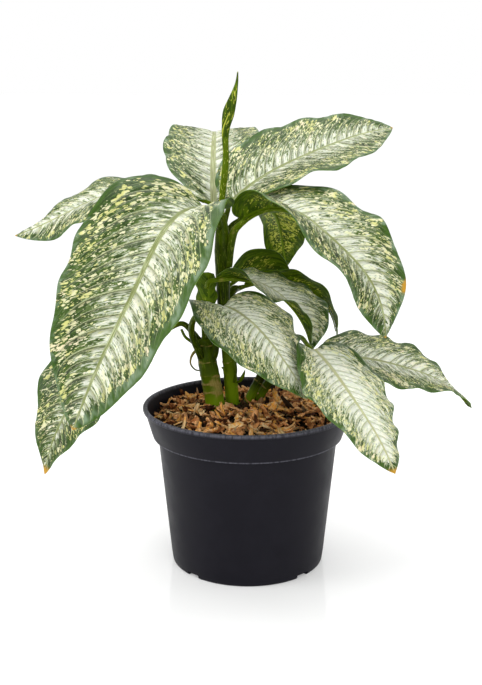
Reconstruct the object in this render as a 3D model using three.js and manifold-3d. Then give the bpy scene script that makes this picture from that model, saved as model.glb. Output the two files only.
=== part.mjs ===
// A dieffenbachia with cream-flecked leaves in a plain nursery pot.
// Millimetres, +Z up. The origin is the middle of the pot's flat foot, and -Y is the side that is
// usually looked at: bearings run from +X (0 degrees) through +Y (90 degrees).
import * as THREE from "three";
import { mergeVertices } from "three/addons/utils/BufferGeometryUtils.js";
import Module from "manifold-3d";

const wasm = await Module();
wasm.setup();

// Driving dimensions.
const lipRadius = 105;
const potHeight = 163;
const collarHeight = 30;
const collarFootRadius = 95.5;
const wallTopRadius = 90.2;
const footRadius = 77;
const wallThickness = 2.4;
const floorThickness = 3;
const lipWidth = 4.5;
const notchWidth = 15;
const notchHeight = 4;
const notchBearings = [45, 135, 225, 315];
const fillEdgeHeight = 149;
const fillMound = 6;
const turnings = 40;
const barkRelief = 2.2;
const fit = 0.3;
const caneDepth = 24;
const bladeEdge = 0.8;
const keelDepth = 1.5;
const keelReach = 3.5;

const potColour = 0x222327;
const barkColour = 0x9a6a3f;
const stemColour = 0x55701f;
const darkStemColour = 0x3c5216;
const leafColour = 0x6f8a6a;
const spearColour = 0x6a7f2a;

const radians = THREE.MathUtils.degToRad;
const vec = (x, y, z) => new THREE.Vector3(x, y, z);
const plant = new THREE.Group();

function addMesh(name, geometry, colour, roughness) {
  const material = new THREE.MeshStandardMaterial({ color: colour, roughness, metalness: 0 });
  const mesh = new THREE.Mesh(geometry, material);
  mesh.name = name;
  plant.add(mesh);
}

// A closed geometry as a solid for joining and cutting, and back again.
function toSolid(geometry) {
  const bare = geometry.clone();
  bare.deleteAttribute("normal");
  bare.deleteAttribute("uv");
  const merged = mergeVertices(bare, 1e-4);
  return new wasm.Manifold(new wasm.Mesh({
    numProp: 3,
    vertProperties: new Float32Array(merged.attributes.position.array),
    triVerts: new Uint32Array(merged.index.array),
  }));
}

// The largest body of a solid: cutting can leave a crumb beside it.
function mainBody(solid) {
  return solid.decompose().sort((a, b) => b.volume() - a.volume())[0];
}

function toGeometry(solid) {
  const mesh = solid.getMesh();
  const geometry = new THREE.BufferGeometry();
  geometry.setAttribute("position", new THREE.BufferAttribute(mesh.vertProperties, 3));
  geometry.setIndex(new THREE.BufferAttribute(mesh.triVerts, 1));
  geometry.computeVertexNormals();
  return geometry;
}

// Value at t (0 to 1) on a smooth curve through evenly spaced keys.
function along(keys, t) {
  const last = keys.length - 1;
  const x = Math.min(Math.max(t, 0), 1) * last;
  const i = Math.min(Math.floor(x), last - 1);
  const u = x - i;
  const before = i > 0 ? keys[i - 1] : 2 * keys[0] - keys[1];
  const after = i + 2 <= last ? keys[i + 2] : 2 * keys[last] - keys[last - 1];
  const [b, c] = [keys[i], keys[i + 1]];
  const bend = 2 * before - 5 * b + 4 * c - after + u * (3 * (b - c) + after - before);
  return b + 0.5 * u * (c - before + u * bend);
}

// Closed geometry from rings of equally many points, capped at both ends.
function loft(rings) {
  const count = rings[0].length;
  const positions = rings.flat().flatMap((p) => [p.x, p.y, p.z]);
  const index = [];
  for (let i = 0; i + 1 < rings.length; i += 1) {
    for (let j = 0; j < count; j += 1) {
      const a = i * count + j;
      const b = i * count + ((j + 1) % count);
      index.push(a, b, b + count, a, b + count, a + count);
    }
  }
  const top = (rings.length - 1) * count;
  for (let j = 1; j + 1 < count; j += 1) {
    index.push(0, j + 1, j);
    index.push(top, top + j, top + j + 1);
  }
  const geometry = new THREE.BufferGeometry();
  geometry.setAttribute("position", new THREE.Float32BufferAttribute(positions, 3));
  geometry.setIndex(index);
  geometry.computeVertexNormals();
  return geometry;
}

// A round stem through the given points. radii are keys along it, and bands are raised rings.
function stem({ points, radii, steps, sides = 8, bands = [], grow = 0 }) {
  const curve = new THREE.CatmullRomCurve3(points.map((p) => vec(...p)), false, "centripetal");
  const stations = [];
  for (let i = 0; i <= steps; i += 1) {
    stations.push([i / steps, 0]);
  }
  for (const t of bands) {
    stations.push([t - 0.012, 0], [t, 0.7], [t + 0.012, 0]);
  }
  stations.sort((a, b) => a[0] - b[0]);
  let side = vec(0, 1, 0);
  const rings = stations.map(([t, raised]) => {
    const ahead = curve.getTangentAt(t);
    const past = t === 0 ? -grow : t === 1 ? grow : 0;
    const centre = curve.getPointAt(t).addScaledVector(ahead, past);
    side = side.clone().addScaledVector(ahead, -side.dot(ahead)).normalize();
    const across = ahead.clone().cross(side);
    const radius = along(radii, t) + raised + grow;
    return Array.from({ length: sides }, (unused, j) => {
      const turn = (2 * Math.PI * j) / sides;
      return centre.clone()
        .addScaledVector(side, radius * Math.cos(turn))
        .addScaledVector(across, radius * Math.sin(turn));
    });
  });
  return loft(rings);
}

// Leaf blades. The midrib starts at base and follows bearing and rise; roll lifts the leaf's own
// left side. halfWidth, fold, lobe and ruffle are given for the left side, then the right.
// ruffle is [depth, waves, phase]; fold bends a side up at the midrib, curl bends it onward.
const leaves = [
  {
    name: "front_left", base: [-41, 1, 356], length: 276,
    bearing: [-123, -119, -132, -138], rise: [16, -42, -53, -64], roll: [-7, -3, -11, -18],
    halfWidth: [[58, 77, 81], [90, 72, 87]], fold: [[25, 19, 15, -7], [34, 12, 20, 0]],
    curl: [-3, 4], lobe: [20, 8], ruffle: [[1.9, 5.6, -0.44], [2.4, 4.9, 0.24]],
  },
  {
    name: "far_left", base: [-42, 29, 364], length: 203,
    bearing: [171, 174, 179, 188], rise: [25, -6, -26, -19], roll: [2, -7, -15, -23],
    halfWidth: [[41, 49, 51], [41, 48, 49]], fold: [[10, 12, 8, -18], [9, 13, 15, -10]],
    curl: [-24, -19], lobe: [1, 1], ruffle: [[3.3, 4.3, 0.3], [2.7, 4.3, -0.05]],
  },
  {
    name: "low_left", base: [-88, 21, 235], length: 196,
    bearing: [188, 203, 207, 207], rise: [-8, -42, -58, -79], roll: [9, -9, -13, -3],
    halfWidth: [[46, 48, 44], [48, 55, 50]], fold: [[10, 7, 1, 8], [9, 21, 16, 11]],
    curl: [-19, -3], lobe: [4, 4], ruffle: [[2.6, 5.4, 0.5], [2.8, 4.2, 0.63]],
  },
  {
    name: "back", base: [-35, 76, 355], length: 250,
    bearing: [93, 90, 92, 95], rise: [48, 25, -3, -35], roll: [4, 0, 0, 0],
    halfWidth: [[54, 54, 53], [53, 53, 53]], fold: [[17, 3, 13, 10], [10, 10, 10, 10]],
    curl: [-8, -10], lobe: [1, 1], ruffle: [[2.3, 5.1, 0.02], [2.2, 5, 0.1]],
  },
  {
    name: "upper_right", base: [-14, 45, 362], length: 189,
    bearing: [18, 17, 18, 25], rise: [41, 24, 18, 5], roll: [26, 22, 23, 28],
    halfWidth: [[64, 59, 64], [58, 58, 59]], fold: [[17, 9, 7, 10], [18, 16, 5, 3]],
    curl: [3, -1], lobe: [10, 7], ruffle: [[1.9, 4.7, 0.43], [2.5, 3.7, 0.89]],
  },
  {
    name: "right_arch", base: [-4, 19, 345], length: 221,
    bearing: [-21, -43, -35, -49], rise: [38, -22, -42, -88], roll: [40, 21, 11, 2],
    halfWidth: [[40, 54, 64], [47, 56, 66]], fold: [[18, 6, 26, -3], [83, 46, 21, -4]],
    curl: [-6, -7], lobe: [2, 8], ruffle: [[3.4, 3.9, -0.07], [3.6, 3.4, -0.13]],
  },
  {
    name: "behind", base: [-5, 50, 346], length: 168,
    bearing: [58, 66, 76, 69], rise: [19, -14, -48, -62], roll: [6, 9, 4, -17],
    halfWidth: [[25, 35, 45], [32, 41, 39]], fold: [[10, 5, 33, -16], [10, 6, 10, 10]],
    curl: [-4, -5], lobe: [1, 1], ruffle: [[3.2, 4.4, 0.08], [2.9, 4.6, 0.16]],
  },
  {
    name: "inner_back", base: [-16, 66, 275], length: 75,
    bearing: [34, 26, 18, 6], rise: [30, 6, -32, -80], roll: [0, 0, 6, 14],
    halfWidth: [[22, 28, 28], [24, 28, 27]], fold: [[10, 5, 0, 0], [84, 80, 78, 70]],
    curl: [-8, -12], lobe: [3, 2], ruffle: [[1.4, 4.1, 0.3], [0.9, 3.1, 0.3]],
  },
  {
    name: "mid_right", base: [-31, 6, 289], length: 131,
    bearing: [1, -4, -23, -55], rise: [10, -21, -50, -74], roll: [7, 11, 20, 46],
    halfWidth: [[20, 45, 52], [34, 35, 29, 26, 44]], fold: [[11, 2, 4, 34], [61, 34, 14, 12, 62, 96, 112]],
    curl: [-5, -2], lobe: [-4, -6], ruffle: [[1.9, 5.9, -0.22], [1.5, 4.6, 0.45]],
  },
  {
    name: "mid_back", base: [-3, 55, 274], length: 129,
    bearing: [0, -2, -8, -14], rise: [17, -7, -48, -88], roll: [4, 6, 10, 20],
    halfWidth: [[16, 17, 24], [17, 20, 30]], fold: [[0, -6, -6, 0], [70, 62, 54, 40]],
    curl: [-14, -12], lobe: [1, -1], ruffle: [[2, 4.7, 0.6], [1.7, 4.2, 0.6]],
  },
  {
    name: "low_front", base: [-24, -35, 269], length: 144,
    bearing: [-62, -55, -38, -24], rise: [7, -17, -45, -56], roll: [4, 0, -1, 1],
    halfWidth: [[54, 54, 50], [56, 51, 53]], fold: [[34, 0, -2, 3], [34, 7, -4, 4]],
    curl: [-18, -17], lobe: [18, 22], ruffle: [[2.6, 4.5, 0.8], [1.2, 5.2, 0.59]],
  },
  {
    name: "low_right", base: [73, 4, 209], length: 166,
    bearing: [-6, -3, -1, -3], rise: [9, -11, -22, -55], roll: [33, 21, 10, -16],
    halfWidth: [[45, 46, 42], [41, 42, 40]], fold: [[16, 7, 15, -3], [10, 11, 5, 11]],
    curl: [-14, -13], lobe: [3, 6], ruffle: [[2.4, 5.6, 0.11], [2.3, 4.9, 0.48]],
  },
  {
    name: "front_right", base: [61, -72, 236], length: 154,
    bearing: [-57, -65, -60, -57], rise: [-21, -25, -34, -54], roll: [-3, -4, -5, 0],
    halfWidth: [[46, 46, 43], [39, 44, 45]], fold: [[29, 5, -4, -4], [27, 8, 10, -7]],
    curl: [-19, -16], lobe: [10, 13], ruffle: [[2.4, 4.9, 0.64], [1.8, 4.5, 0.11]],
  },
];

// The open sheath that the middle right petiole grows into: a blunt trough with a frilled rim.
const sheath = {
  name: "mid_right", base: [-39, 15, 241], length: 54, shape: [0.3, 0.2],
  bearing: [-90, -88, -85, -80], rise: [84, 88, 84, 78], roll: [0, 0, 0, 0],
  halfWidth: [[7, 9, 8], [10, 15, 16]], fold: [[12, 12, 12, 6], [15, 15, 15, 10]],
  curl: [30, 50], lobe: [0, 0], ruffle: [[1.5, 3.4, 0.1], [1.6, 3.1, 0.4]],
};

const bladeSteps = 20;
const bladeColumns = [0, 0.12, 0.55, 1];
const midribSlices = 64;

function heading(leaf, s) {
  const bearing = radians(along(leaf.bearing, s));
  const rise = radians(along(leaf.rise, s));
  const flat = Math.cos(rise);
  return vec(flat * Math.cos(bearing), flat * Math.sin(bearing), Math.sin(rise));
}

// Forward along the midrib, out to the leaf's own left, and out of its upper face.
function axesAt(leaf, s) {
  const ahead = heading(leaf, s);
  const bearing = radians(along(leaf.bearing, s));
  const level = vec(-Math.sin(bearing), Math.cos(bearing), 0);
  const up = ahead.clone().cross(level);
  const roll = radians(along(leaf.roll, s));
  const left = level.clone().multiplyScalar(Math.cos(roll)).addScaledVector(up, Math.sin(roll));
  const face = up.multiplyScalar(Math.cos(roll)).addScaledVector(level, -Math.sin(roll));
  return { ahead, left, face };
}

// Points of the midrib at even slices of its length.
function midribOf(leaf) {
  const points = [vec(...leaf.base)];
  for (let i = 0; i < midribSlices; i += 1) {
    const step = heading(leaf, i / midribSlices)
      .add(heading(leaf, (i + 1) / midribSlices))
      .multiplyScalar((0.5 * leaf.length) / midribSlices);
    points.push(points[i].clone().add(step));
  }
  return points;
}

// Outline of a half blade: round at the foot, drawn out to the tip.
function outline(s, [full, taper] = [0.55, 0.85]) {
  const widest = full / (full + taper);
  const peak = widest ** full * (1 - widest) ** taper;
  return (s ** full * (1 - s) ** taper) / peak;
}

// Middle surface at s along the midrib and v across it (-1 right margin to +1 left margin).
function bladePoint(leaf, midrib, s, v) {
  const x = Math.min(s * midribSlices, midribSlices - 1e-6);
  const i = Math.floor(x);
  const centre = midrib[i].clone().lerp(midrib[i + 1], x - i);
  const { ahead, left, face } = axesAt(leaf, s);
  const side = v < 0 ? 1 : 0;
  const out = v < 0 ? left.clone().negate() : left;
  const across = Math.abs(v);
  const width = Math.max(along(leaf.halfWidth[side], s) * outline(s, leaf.shape), s < 0.5 ? 1.4 : 0.7);
  const fold = radians(along(leaf.fold[side], s));
  const curl = radians(leaf.curl[side]);
  const turn = fold + curl * across;
  const reach = (Math.sin(turn) - Math.sin(fold)) / curl;
  const lift = (Math.cos(fold) - Math.cos(turn)) / curl;
  const foot = (s / 0.05) * Math.exp(1 - s / 0.05);
  const [depth, waves, phase] = leaf.ruffle[side];
  const swell = depth * across ** 3 * Math.sin(Math.PI * Math.min(s, 1)) ** 0.6;
  const wave = 2 * Math.PI * (waves * s + phase);
  const rise = swell * Math.sin(wave);
  const spread = 0.6 * swell * Math.cos(wave);
  return centre
    .addScaledVector(out, width * reach + spread * Math.cos(turn) - rise * Math.sin(turn))
    .addScaledVector(face, width * lift + spread * Math.sin(turn) + rise * Math.cos(turn))
    .addScaledVector(ahead, -leaf.lobe[side] * across ** 2 * foot);
}

// One blade as a closed solid: upper and lower skins, thicker at the keel under the midrib.
function blade(leaf) {
  const midrib = midribOf(leaf);
  const columns = [...bladeColumns.slice(1).reverse().map((v) => -v), ...bladeColumns];
  const stations = [];
  for (let i = 0; i <= bladeSteps; i += 1) {
    stations.push((i / bladeSteps) ** 1.45);
  }
  const grid = stations.map((s) => columns.map((v) => bladePoint(leaf, midrib, s, v)));
  const normalAt = (i, j) => {
    const rowNext = grid[Math.min(i + 1, bladeSteps)][j];
    const rowBack = grid[Math.max(i - 1, 0)][j];
    const columnNext = grid[i][Math.min(j + 1, columns.length - 1)];
    const columnBack = grid[i][Math.max(j - 1, 0)];
    return rowNext.clone().sub(rowBack).cross(columnNext.clone().sub(columnBack)).normalize();
  };
  const rings = stations.map((s, i) => {
    const upper = columns.map((v, j) => {
      return grid[i][j].clone().addScaledVector(normalAt(i, j), bladeEdge / 2);
    });
    const lower = columns.map((v, j) => {
      const offset = grid[i][j].distanceTo(grid[i][bladeColumns.length - 1]);
      const keel = keelDepth * Math.exp(-((offset / keelReach) ** 2)) * (1 - 0.8 * s);
      return grid[i][j].clone().addScaledVector(normalAt(i, j), -bladeEdge / 2 - keel);
    });
    return [...upper, ...lower.reverse()];
  });
  return bladeLoft(rings, columns.length);
}

// Skins and rim of a blade, with both skins split along the same diagonals.
function bladeLoft(rings, count) {
  const around = 2 * count;
  const positions = rings.flat().flatMap((p) => [p.x, p.y, p.z]);
  const index = [];
  for (let i = 0; i + 1 < rings.length; i += 1) {
    for (let j = 0; j < around; j += 1) {
      const a = i * around + j;
      const b = i * around + ((j + 1) % around);
      const [c, d] = [b + around, a + around];
      if (j < count) {
        index.push(a, d, c, a, c, b);
      } else {
        index.push(a, d, b, b, d, c);
      }
    }
  }
  const last = (rings.length - 1) * around;
  for (let j = 0; j + 1 < count; j += 1) {
    const [a, b] = [j, j + 1];
    const [c, d] = [around - 2 - j, around - 1 - j];
    index.push(a, b, c, a, c, d);
    index.push(last + a, last + c, last + b, last + a, last + d, last + c);
  }
  const geometry = new THREE.BufferGeometry();
  geometry.setAttribute("position", new THREE.Float32BufferAttribute(positions, 3));
  geometry.setIndex(index);
  geometry.computeVertexNormals();
  return geometry;
}

// Canes: points from under the bark to the top, keys of radius, and the raised nodal bands.
// growths are dried sheath remains and young shoots, bumps are basal buds: all grow from the cane.
const canes = {
  left: {
    points: [[-33, 20, 153 - caneDepth], [-33, 23, 153], [-37, 26, 178], [-41, 27, 200], [-44, 28, 224]],
    radii: [9.6, 9.8, 9.8, 9.6, 8], steps: 8, sides: 10, bands: [0.42, 0.6],
    growths: [
      { points: [[-50, 26, 216], [-57, 25, 221], [-63, 24, 226], [-67, 24, 234]], radii: [2.6, 1.7, 1.5] },
      {
        points: [[-48, 24, 216], [-56, 22, 208], [-58, 22, 199], [-53, 23, 192], [-46, 24, 191]],
        radii: [1.6, 1, 0.8],
      },
      { points: [[-37, 24, 198], [-33, 22, 212], [-32, 21, 224], [-36, 21, 233]], radii: [3.4, 4, 3, 1.2] },
    ],
    bumps: [],
  },
  middle: {
    points: [
      [-15, 34, 153 - caneDepth], [-15.5, 33, 153], [-19, 30, 200], [-24, 29, 255], [-25, 29, 300],
      [-25, 29, 326], [-26, 30, 349],
    ],
    radii: [7.2, 7, 6.8, 6.6, 6.4, 7.2, 8.2, 4.6], steps: 14, sides: 10, bands: [0.2, 0.26, 0.3],
    growths: [
      { points: [[-14, 31, 176], [-8, 27, 179], [-5, 26, 184], [-2.5, 26, 191]], radii: [1.3, 1, 2.2, 0.7] },
      { points: [[-21, 28, 184], [-23.5, 24, 190], [-25, 22, 195], [-26, 21, 194]], radii: [2, 1.4, 0.9] },
      { points: [[-14, 25, 178], [-11.5, 25, 190], [-12, 25, 200]], radii: [1.4, 1.1, 0.8] },
    ],
    bumps: [{ at: [-19.4, 24.5, 152], size: [3.4, 4.4, 5] }, { at: [-8.5, 26, 151.5], size: [4, 4, 5.5] }],
  },
  right: {
    points: [[-1, 40, 153 - caneDepth], [1, 36, 153], [14, 37, 182], [28, 38, 212]],
    radii: [5.2, 5, 4.6, 4], steps: 6, bands: [0.55], growths: [], bumps: [],
  },
  far_right: {
    points: [[9, 48, 153 - caneDepth], [11, 45, 153], [24, 44, 176], [42, 42, 200]],
    radii: [5, 4.8, 4.4, 3.8], steps: 6, bands: [0.5], growths: [], bumps: [],
  },
};

// Petioles: the cane each one leaves, its points up to the blade, and its foot and top radii.
const petioles = [
  { leaf: "front_left", cane: "middle", route: [[-27, 26, 336], [-31, 18, 349]], radii: [3.2, 1.6] },
  { leaf: "far_left", cane: "middle", route: [[-29, 30, 333], [-33, 30, 350]], radii: [3, 2] },
  { leaf: "low_left", cane: "left", route: [[-45, 28, 214], [-54, 27, 228], [-66, 24, 240]], radii: [4, 2] },
  { leaf: "back", cane: "middle", route: [[-26, 33, 328], [-28, 45, 341], [-32, 62, 346]], radii: [3, 2] },
  { leaf: "upper_right", cane: "middle", route: [[-24, 31, 338], [-20, 38, 352]], radii: [3, 2] },
  {
    leaf: "right_arch", cane: "middle",
    route: [[-20, 26, 298], [-17.5, 25, 318], [-13, 23, 334]], radii: [4.8, 4.4, 2.6],
  },
  { leaf: "behind", cane: "middle", route: [[-23, 33, 318], [-17, 42, 336]], radii: [3, 2] },
  { leaf: "inner_back", cane: "middle", route: [[-23, 33, 246], [-25, 52, 264]], radii: [3, 2] },
  {
    leaf: "mid_right", cane: "left",
    route: [[-42, 27, 216], [-43, 24, 246], [-41, 19, 274]], radii: [5, 2.2],
  },
  { leaf: "mid_back", cane: "middle", route: [[-22, 31, 263], [-15, 42, 271]], radii: [4.8, 4.4, 1.7] },
  {
    leaf: "low_front", cane: "left",
    route: [[-47, 21, 206], [-56, 8, 236], [-48, -14, 258]], radii: [4, 2],
  },
  { leaf: "low_right", cane: "far_right", route: [[41, 40, 196], [54, 26, 202]], radii: [3.4, 2] },
  {
    leaf: "front_right", cane: "right",
    route: [[28, 36, 208], [38, 8, 226], [50, -36, 240]], radii: [3.4, 2],
  },
];

// The pot turns on the axis: foot, tapered wall, collar with its step, lip, then the inside.
function potProfile() {
  const stepHeight = potHeight - collarHeight;
  const slope = (wallTopRadius - footRadius) / stepHeight;
  const collarSlope = (lipRadius - 1 - collarFootRadius) / collarHeight;
  const innerLip = lipRadius - lipWidth;
  const wallInside = (z) => footRadius + slope * z - wallThickness;
  return [
    [0, 0],
    [footRadius - 3, 0],
    [footRadius - 0.8, 0.9],
    [footRadius, 3],
    [wallTopRadius, stepHeight - 1],
    [collarFootRadius - 0.8, stepHeight - 0.6],
    [collarFootRadius, stepHeight + 0.6],
    [collarFootRadius + collarSlope * (collarHeight - 6), potHeight - 6],
    [lipRadius - 0.2, potHeight - 4],
    [lipRadius, potHeight - 1.8],
    [lipRadius - 1.2, potHeight - 0.3],
    [lipRadius - 2.4, potHeight],
    [innerLip + 0.6, potHeight - 0.5],
    [innerLip, potHeight - 2],
    [collarFootRadius - wallThickness, stepHeight + 2],
    [wallInside(stepHeight - 2), stepHeight - 2],
    [wallInside(floorThickness), floorThickness],
    [0, floorThickness],
  ];
}

function lathe(profile, segments) {
  return new THREE.LatheGeometry(profile.map(([r, z]) => new THREE.Vector2(r, z)), segments)
    .rotateX(Math.PI / 2);
}

function makePot() {
  let pot = toSolid(lathe(potProfile(), turnings));
  for (const bearing of notchBearings) {
    const notch = new THREE.BoxGeometry(14, notchWidth, notchHeight * 2)
      .translate(footRadius, 0, 0)
      .rotateZ(radians(bearing));
    pot = pot.subtract(toSolid(notch));
  }
  return toGeometry(pot);
}

// Uneven bark surface from a few crossing ripples.
function barkHeight(x, y) {
  const ripple = Math.sin(0.31 * x + 1.7 * Math.sin(0.17 * y)) * Math.cos(0.27 * y - 0.9);
  const grain = Math.sin(0.83 * x - 0.4) * Math.sin(0.71 * y + 0.5 * Math.sin(0.5 * x));
  const mound = fillMound * (1 - (x * x + y * y) / (lipRadius * lipRadius));
  return fillEdgeHeight + mound + barkRelief * (0.6 * ripple + 0.4 * grain);
}

// Chips that stand out of the cover: bearing, distance from the axis, turn, tilt, length.
const chipCount = 16;
function chipAt(i) {
  const bearing = 2.4 * i;
  const distance = 30 + 58 * Math.sqrt(((i * 7) % chipCount) / chipCount);
  const x = distance * Math.cos(bearing);
  const y = distance * Math.sin(bearing);
  return new THREE.BoxGeometry(9 + ((i * 5) % 9), 3.2 + (i % 3), 1.6)
    .rotateY(0.5 * Math.sin(3.1 * i))
    .rotateZ(1.9 * i)
    .translate(x, y, barkHeight(x, y) + 0.6);
}

// The filling keeps just clear of the pot's inside, has a bark relief on top and cane holes.
function makeFill(caneSolids) {
  const stepHeight = potHeight - collarHeight;
  const slope = (wallTopRadius - footRadius) / stepHeight;
  const inside = (z) => footRadius + slope * z - wallThickness - fit;
  const collarInside = collarFootRadius - wallThickness - fit;
  const edgeInside = collarInside + 0.29 * (fillEdgeHeight - 3 - stepHeight - 2);
  const ring = (radius, heightAt) => Array.from({ length: turnings }, (unused, j) => {
    const turn = (2 * Math.PI * j) / turnings;
    const x = radius * Math.cos(turn);
    const y = radius * Math.sin(turn);
    return vec(x, y, heightAt(x, y));
  });
  const level = (z) => () => z;
  const rings = [
    ring(inside(floorThickness) - 1, level(floorThickness + fit)),
    ring(inside(stepHeight - 4), level(stepHeight - 4)),
    ring(inside(stepHeight - 2), level(stepHeight - 2)),
    ring(collarInside, level(stepHeight + 2.4)),
    ring(edgeInside, level(fillEdgeHeight - 3)),
  ];
  for (const share of [0.99, 0.88, 0.76, 0.64, 0.52, 0.38, 0.22, 0.03]) {
    rings.push(ring(edgeInside * share, barkHeight));
  }
  let fill = toSolid(loft(rings));
  for (let i = 0; i < chipCount; i += 1) {
    fill = fill.add(toSolid(chipAt(i)));
  }
  for (const cane of caneSolids) {
    fill = fill.subtract(cane);
  }
  return toGeometry(mainBody(fill));
}

// A petiole runs along its route and meets the blade end to end, a fit apart.
function petioleShape(spec) {
  const leaf = leaves.find((entry) => entry.name === spec.leaf);
  const { ahead, face } = axesAt(leaf, 0);
  const base = vec(...leaf.base).addScaledVector(face, -1.5);
  const near = base.clone().addScaledVector(ahead, -7);
  const end = base.clone().addScaledVector(ahead, -3 * fit);
  const points = [...spec.route, near.toArray(), end.toArray()];
  return { points, radii: spec.radii, steps: 2 * points.length, sides: 6 };
}

// A cane with all that grows from it, swollen by grow all round.
function caneSolid({ growths, bumps, ...shape }, grow) {
  let solid = toSolid(stem({ ...shape, grow }));
  for (const growth of growths) {
    solid = solid.add(toSolid(stem({ ...growth, steps: 5, sides: 6, grow })));
  }
  for (const { at, size } of bumps) {
    const bump = new THREE.IcosahedronGeometry(1, 1)
      .scale(...size.map((radius) => radius + grow))
      .translate(...at);
    solid = solid.add(toSolid(bump));
  }
  return solid;
}

addMesh("pot", makePot(), potColour, 0.5);

const caneNames = Object.keys(canes);
const grownCanes = Object.fromEntries(
  caneNames.map((name) => [name, caneSolid(canes[name], fit)]),
);
addMesh("potting_mix", makeFill(Object.values(grownCanes)), barkColour, 0.95);

for (const name of caneNames) {
  const colour = name.includes("right") ? darkStemColour : stemColour;
  addMesh(`cane_${name}`, toGeometry(caneSolid(canes[name], 0)), colour, 0.45);
}

for (const spec of petioles) {
  const shape = petioleShape(spec);
  const seated = toSolid(stem(shape)).subtract(grownCanes[spec.cane]);
  const winged = spec.leaf === sheath.name ? seated.add(toSolid(blade(sheath))) : seated;
  addMesh(`petiole_${spec.leaf}`, toGeometry(mainBody(winged)), stemColour, 0.45);
}

for (const leaf of leaves) {
  addMesh(`leaf_${leaf.name}`, blade(leaf), leafColour, 0.4);
}

// The rolled new leaf: a slender spear that leans and ends in a fine bent point.
const spear = {
  points: [
    [-26, 30, 349.6], [-25, 30, 370], [-22.5, 29, 392], [-21.5, 29, 408], [-22, 28, 430],
    [-19, 28, 448], [-14, 28, 464], [-10.8, 28, 477], [-9.8, 28, 487],
  ],
  radii: [2.8, 3.2, 3.4, 3.3, 4.6, 5, 2.1, 0.6], steps: 16, sides: 8,
};
addMesh("spear_leaf", stem(spear), spearColour, 0.4);

export default plant;
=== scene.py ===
# Dieffenbachia in a nursery pot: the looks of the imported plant.
# Metres, +Z up, the pot's foot at the origin and the viewer on the -Y side.
# The shapes are given in millimetres and bearings in degrees from +X, as a grower would measure them.
import math
import random

import bmesh
import bpy
from mathutils import Matrix, Vector, noise


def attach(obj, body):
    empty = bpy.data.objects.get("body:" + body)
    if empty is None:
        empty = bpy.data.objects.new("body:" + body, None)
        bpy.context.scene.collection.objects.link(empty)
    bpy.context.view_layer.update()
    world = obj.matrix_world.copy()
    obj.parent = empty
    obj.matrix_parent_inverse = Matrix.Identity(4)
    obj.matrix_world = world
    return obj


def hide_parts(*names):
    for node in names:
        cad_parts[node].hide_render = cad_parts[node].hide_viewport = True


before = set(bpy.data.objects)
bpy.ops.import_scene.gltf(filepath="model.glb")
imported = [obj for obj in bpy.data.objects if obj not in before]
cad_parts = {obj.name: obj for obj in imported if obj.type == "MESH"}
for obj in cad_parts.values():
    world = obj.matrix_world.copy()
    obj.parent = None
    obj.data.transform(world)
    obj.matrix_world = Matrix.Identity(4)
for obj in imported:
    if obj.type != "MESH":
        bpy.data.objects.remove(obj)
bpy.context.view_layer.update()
mm = 0.001


def hexColour(text):  # sRGB hex to the linear colour the shaders use
    parts = [int(text[i:i + 2], 16) / 255 for i in (1, 3, 5)]
    linear = [c / 12.92 if c <= 0.04045 else ((c + 0.055) / 1.055) ** 2.4 for c in parts]
    return (*linear, 1)


def newFinish(name, look):  # an empty material with its node tree, and the look's colours made linear
    finish = bpy.data.materials.new(name)
    finish.use_nodes = True
    finish.node_tree.nodes.clear()
    return finish, finish.node_tree, {key: hexColour(text) for key, text in look["colours"].items()}


def addNode(tree, kind, inputs=None, **settings):  # inputs hold values or sockets to link; gives the outputs
    node = tree.nodes.new(f"ShaderNode{kind}")
    for key, value in settings.items():
        setattr(node, key, value)
    for key, value in (inputs or {}).items():
        if isinstance(value, bpy.types.NodeSocket):
            tree.links.new(value, node.inputs[key])
        else:
            node.inputs[key].default_value = value
    return node.outputs


# Settings that many nodes share. A Math node without one adds, and a colour Mix gives its output 2.
smooth, colours = {"interpolation_type": "SMOOTHSTEP"}, {"data_type": "RGBA"}
multiply, multiplyAdd = {"operation": "MULTIPLY"}, {"operation": "MULTIPLY_ADD"}


# Cloudy marks on one of a piece's own flow maps, each drawn out to its size in mm.
def drawMarks(tree, marks):
    drawn = {}
    for name, (flow, size, detail, rough, drift) in marks.items():
        place = addNode(tree, "Attribute", attribute_name=flow)["Vector"]
        stretched = addNode(tree, "VectorMath", {0: place, 1: [1 / length for length in size]}, **multiply)[0]
        drawn[name] = addNode(tree, "TexNoise", {
            "Vector": stretched, "Scale": 1.0, "Detail": detail, "Roughness": rough, "Distortion": drift,
        })[0]
    return drawn


def claimNode(piece, node):  # the piece rides on the one body and is shown in place of the node
    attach(piece, "root")
    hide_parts(node)


def placePiece(name, bm, finishes):
    mesh = bpy.data.meshes.new(name)
    bm.to_mesh(mesh)
    bm.free()
    mesh.shade_smooth()
    for finish in finishes:
        mesh.materials.append(finish)
    piece = bpy.data.objects.new(name, mesh)
    bpy.context.collection.objects.link(piece)
    return piece


def bakeModifiers(piece):
    graph = bpy.context.evaluated_depsgraph_get()
    baked = bpy.data.meshes.new_from_object(piece.evaluated_get(graph))
    piece.modifiers.clear()
    piece.data = baked


def thicken(sheet, thickness, under=0, rim=0):  # under and rim are material steps from the upper face's
    shell = sheet.modifiers.new("thickness", "SOLIDIFY")
    shell.thickness = thickness * mm
    shell.offset = 0
    shell.material_offset = under
    shell.material_offset_rim = rim
    bakeModifiers(sheet)


def joinPieces(kept, *others):
    with bpy.context.temp_override(active_object=kept, selected_editable_objects=[kept, *others]):
        bpy.ops.object.join()


def vectorLayers(bm, *names):
    layers = bm.verts.layers.float_vector
    return [layers.get(name) or layers.new(name) for name in names]


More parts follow.
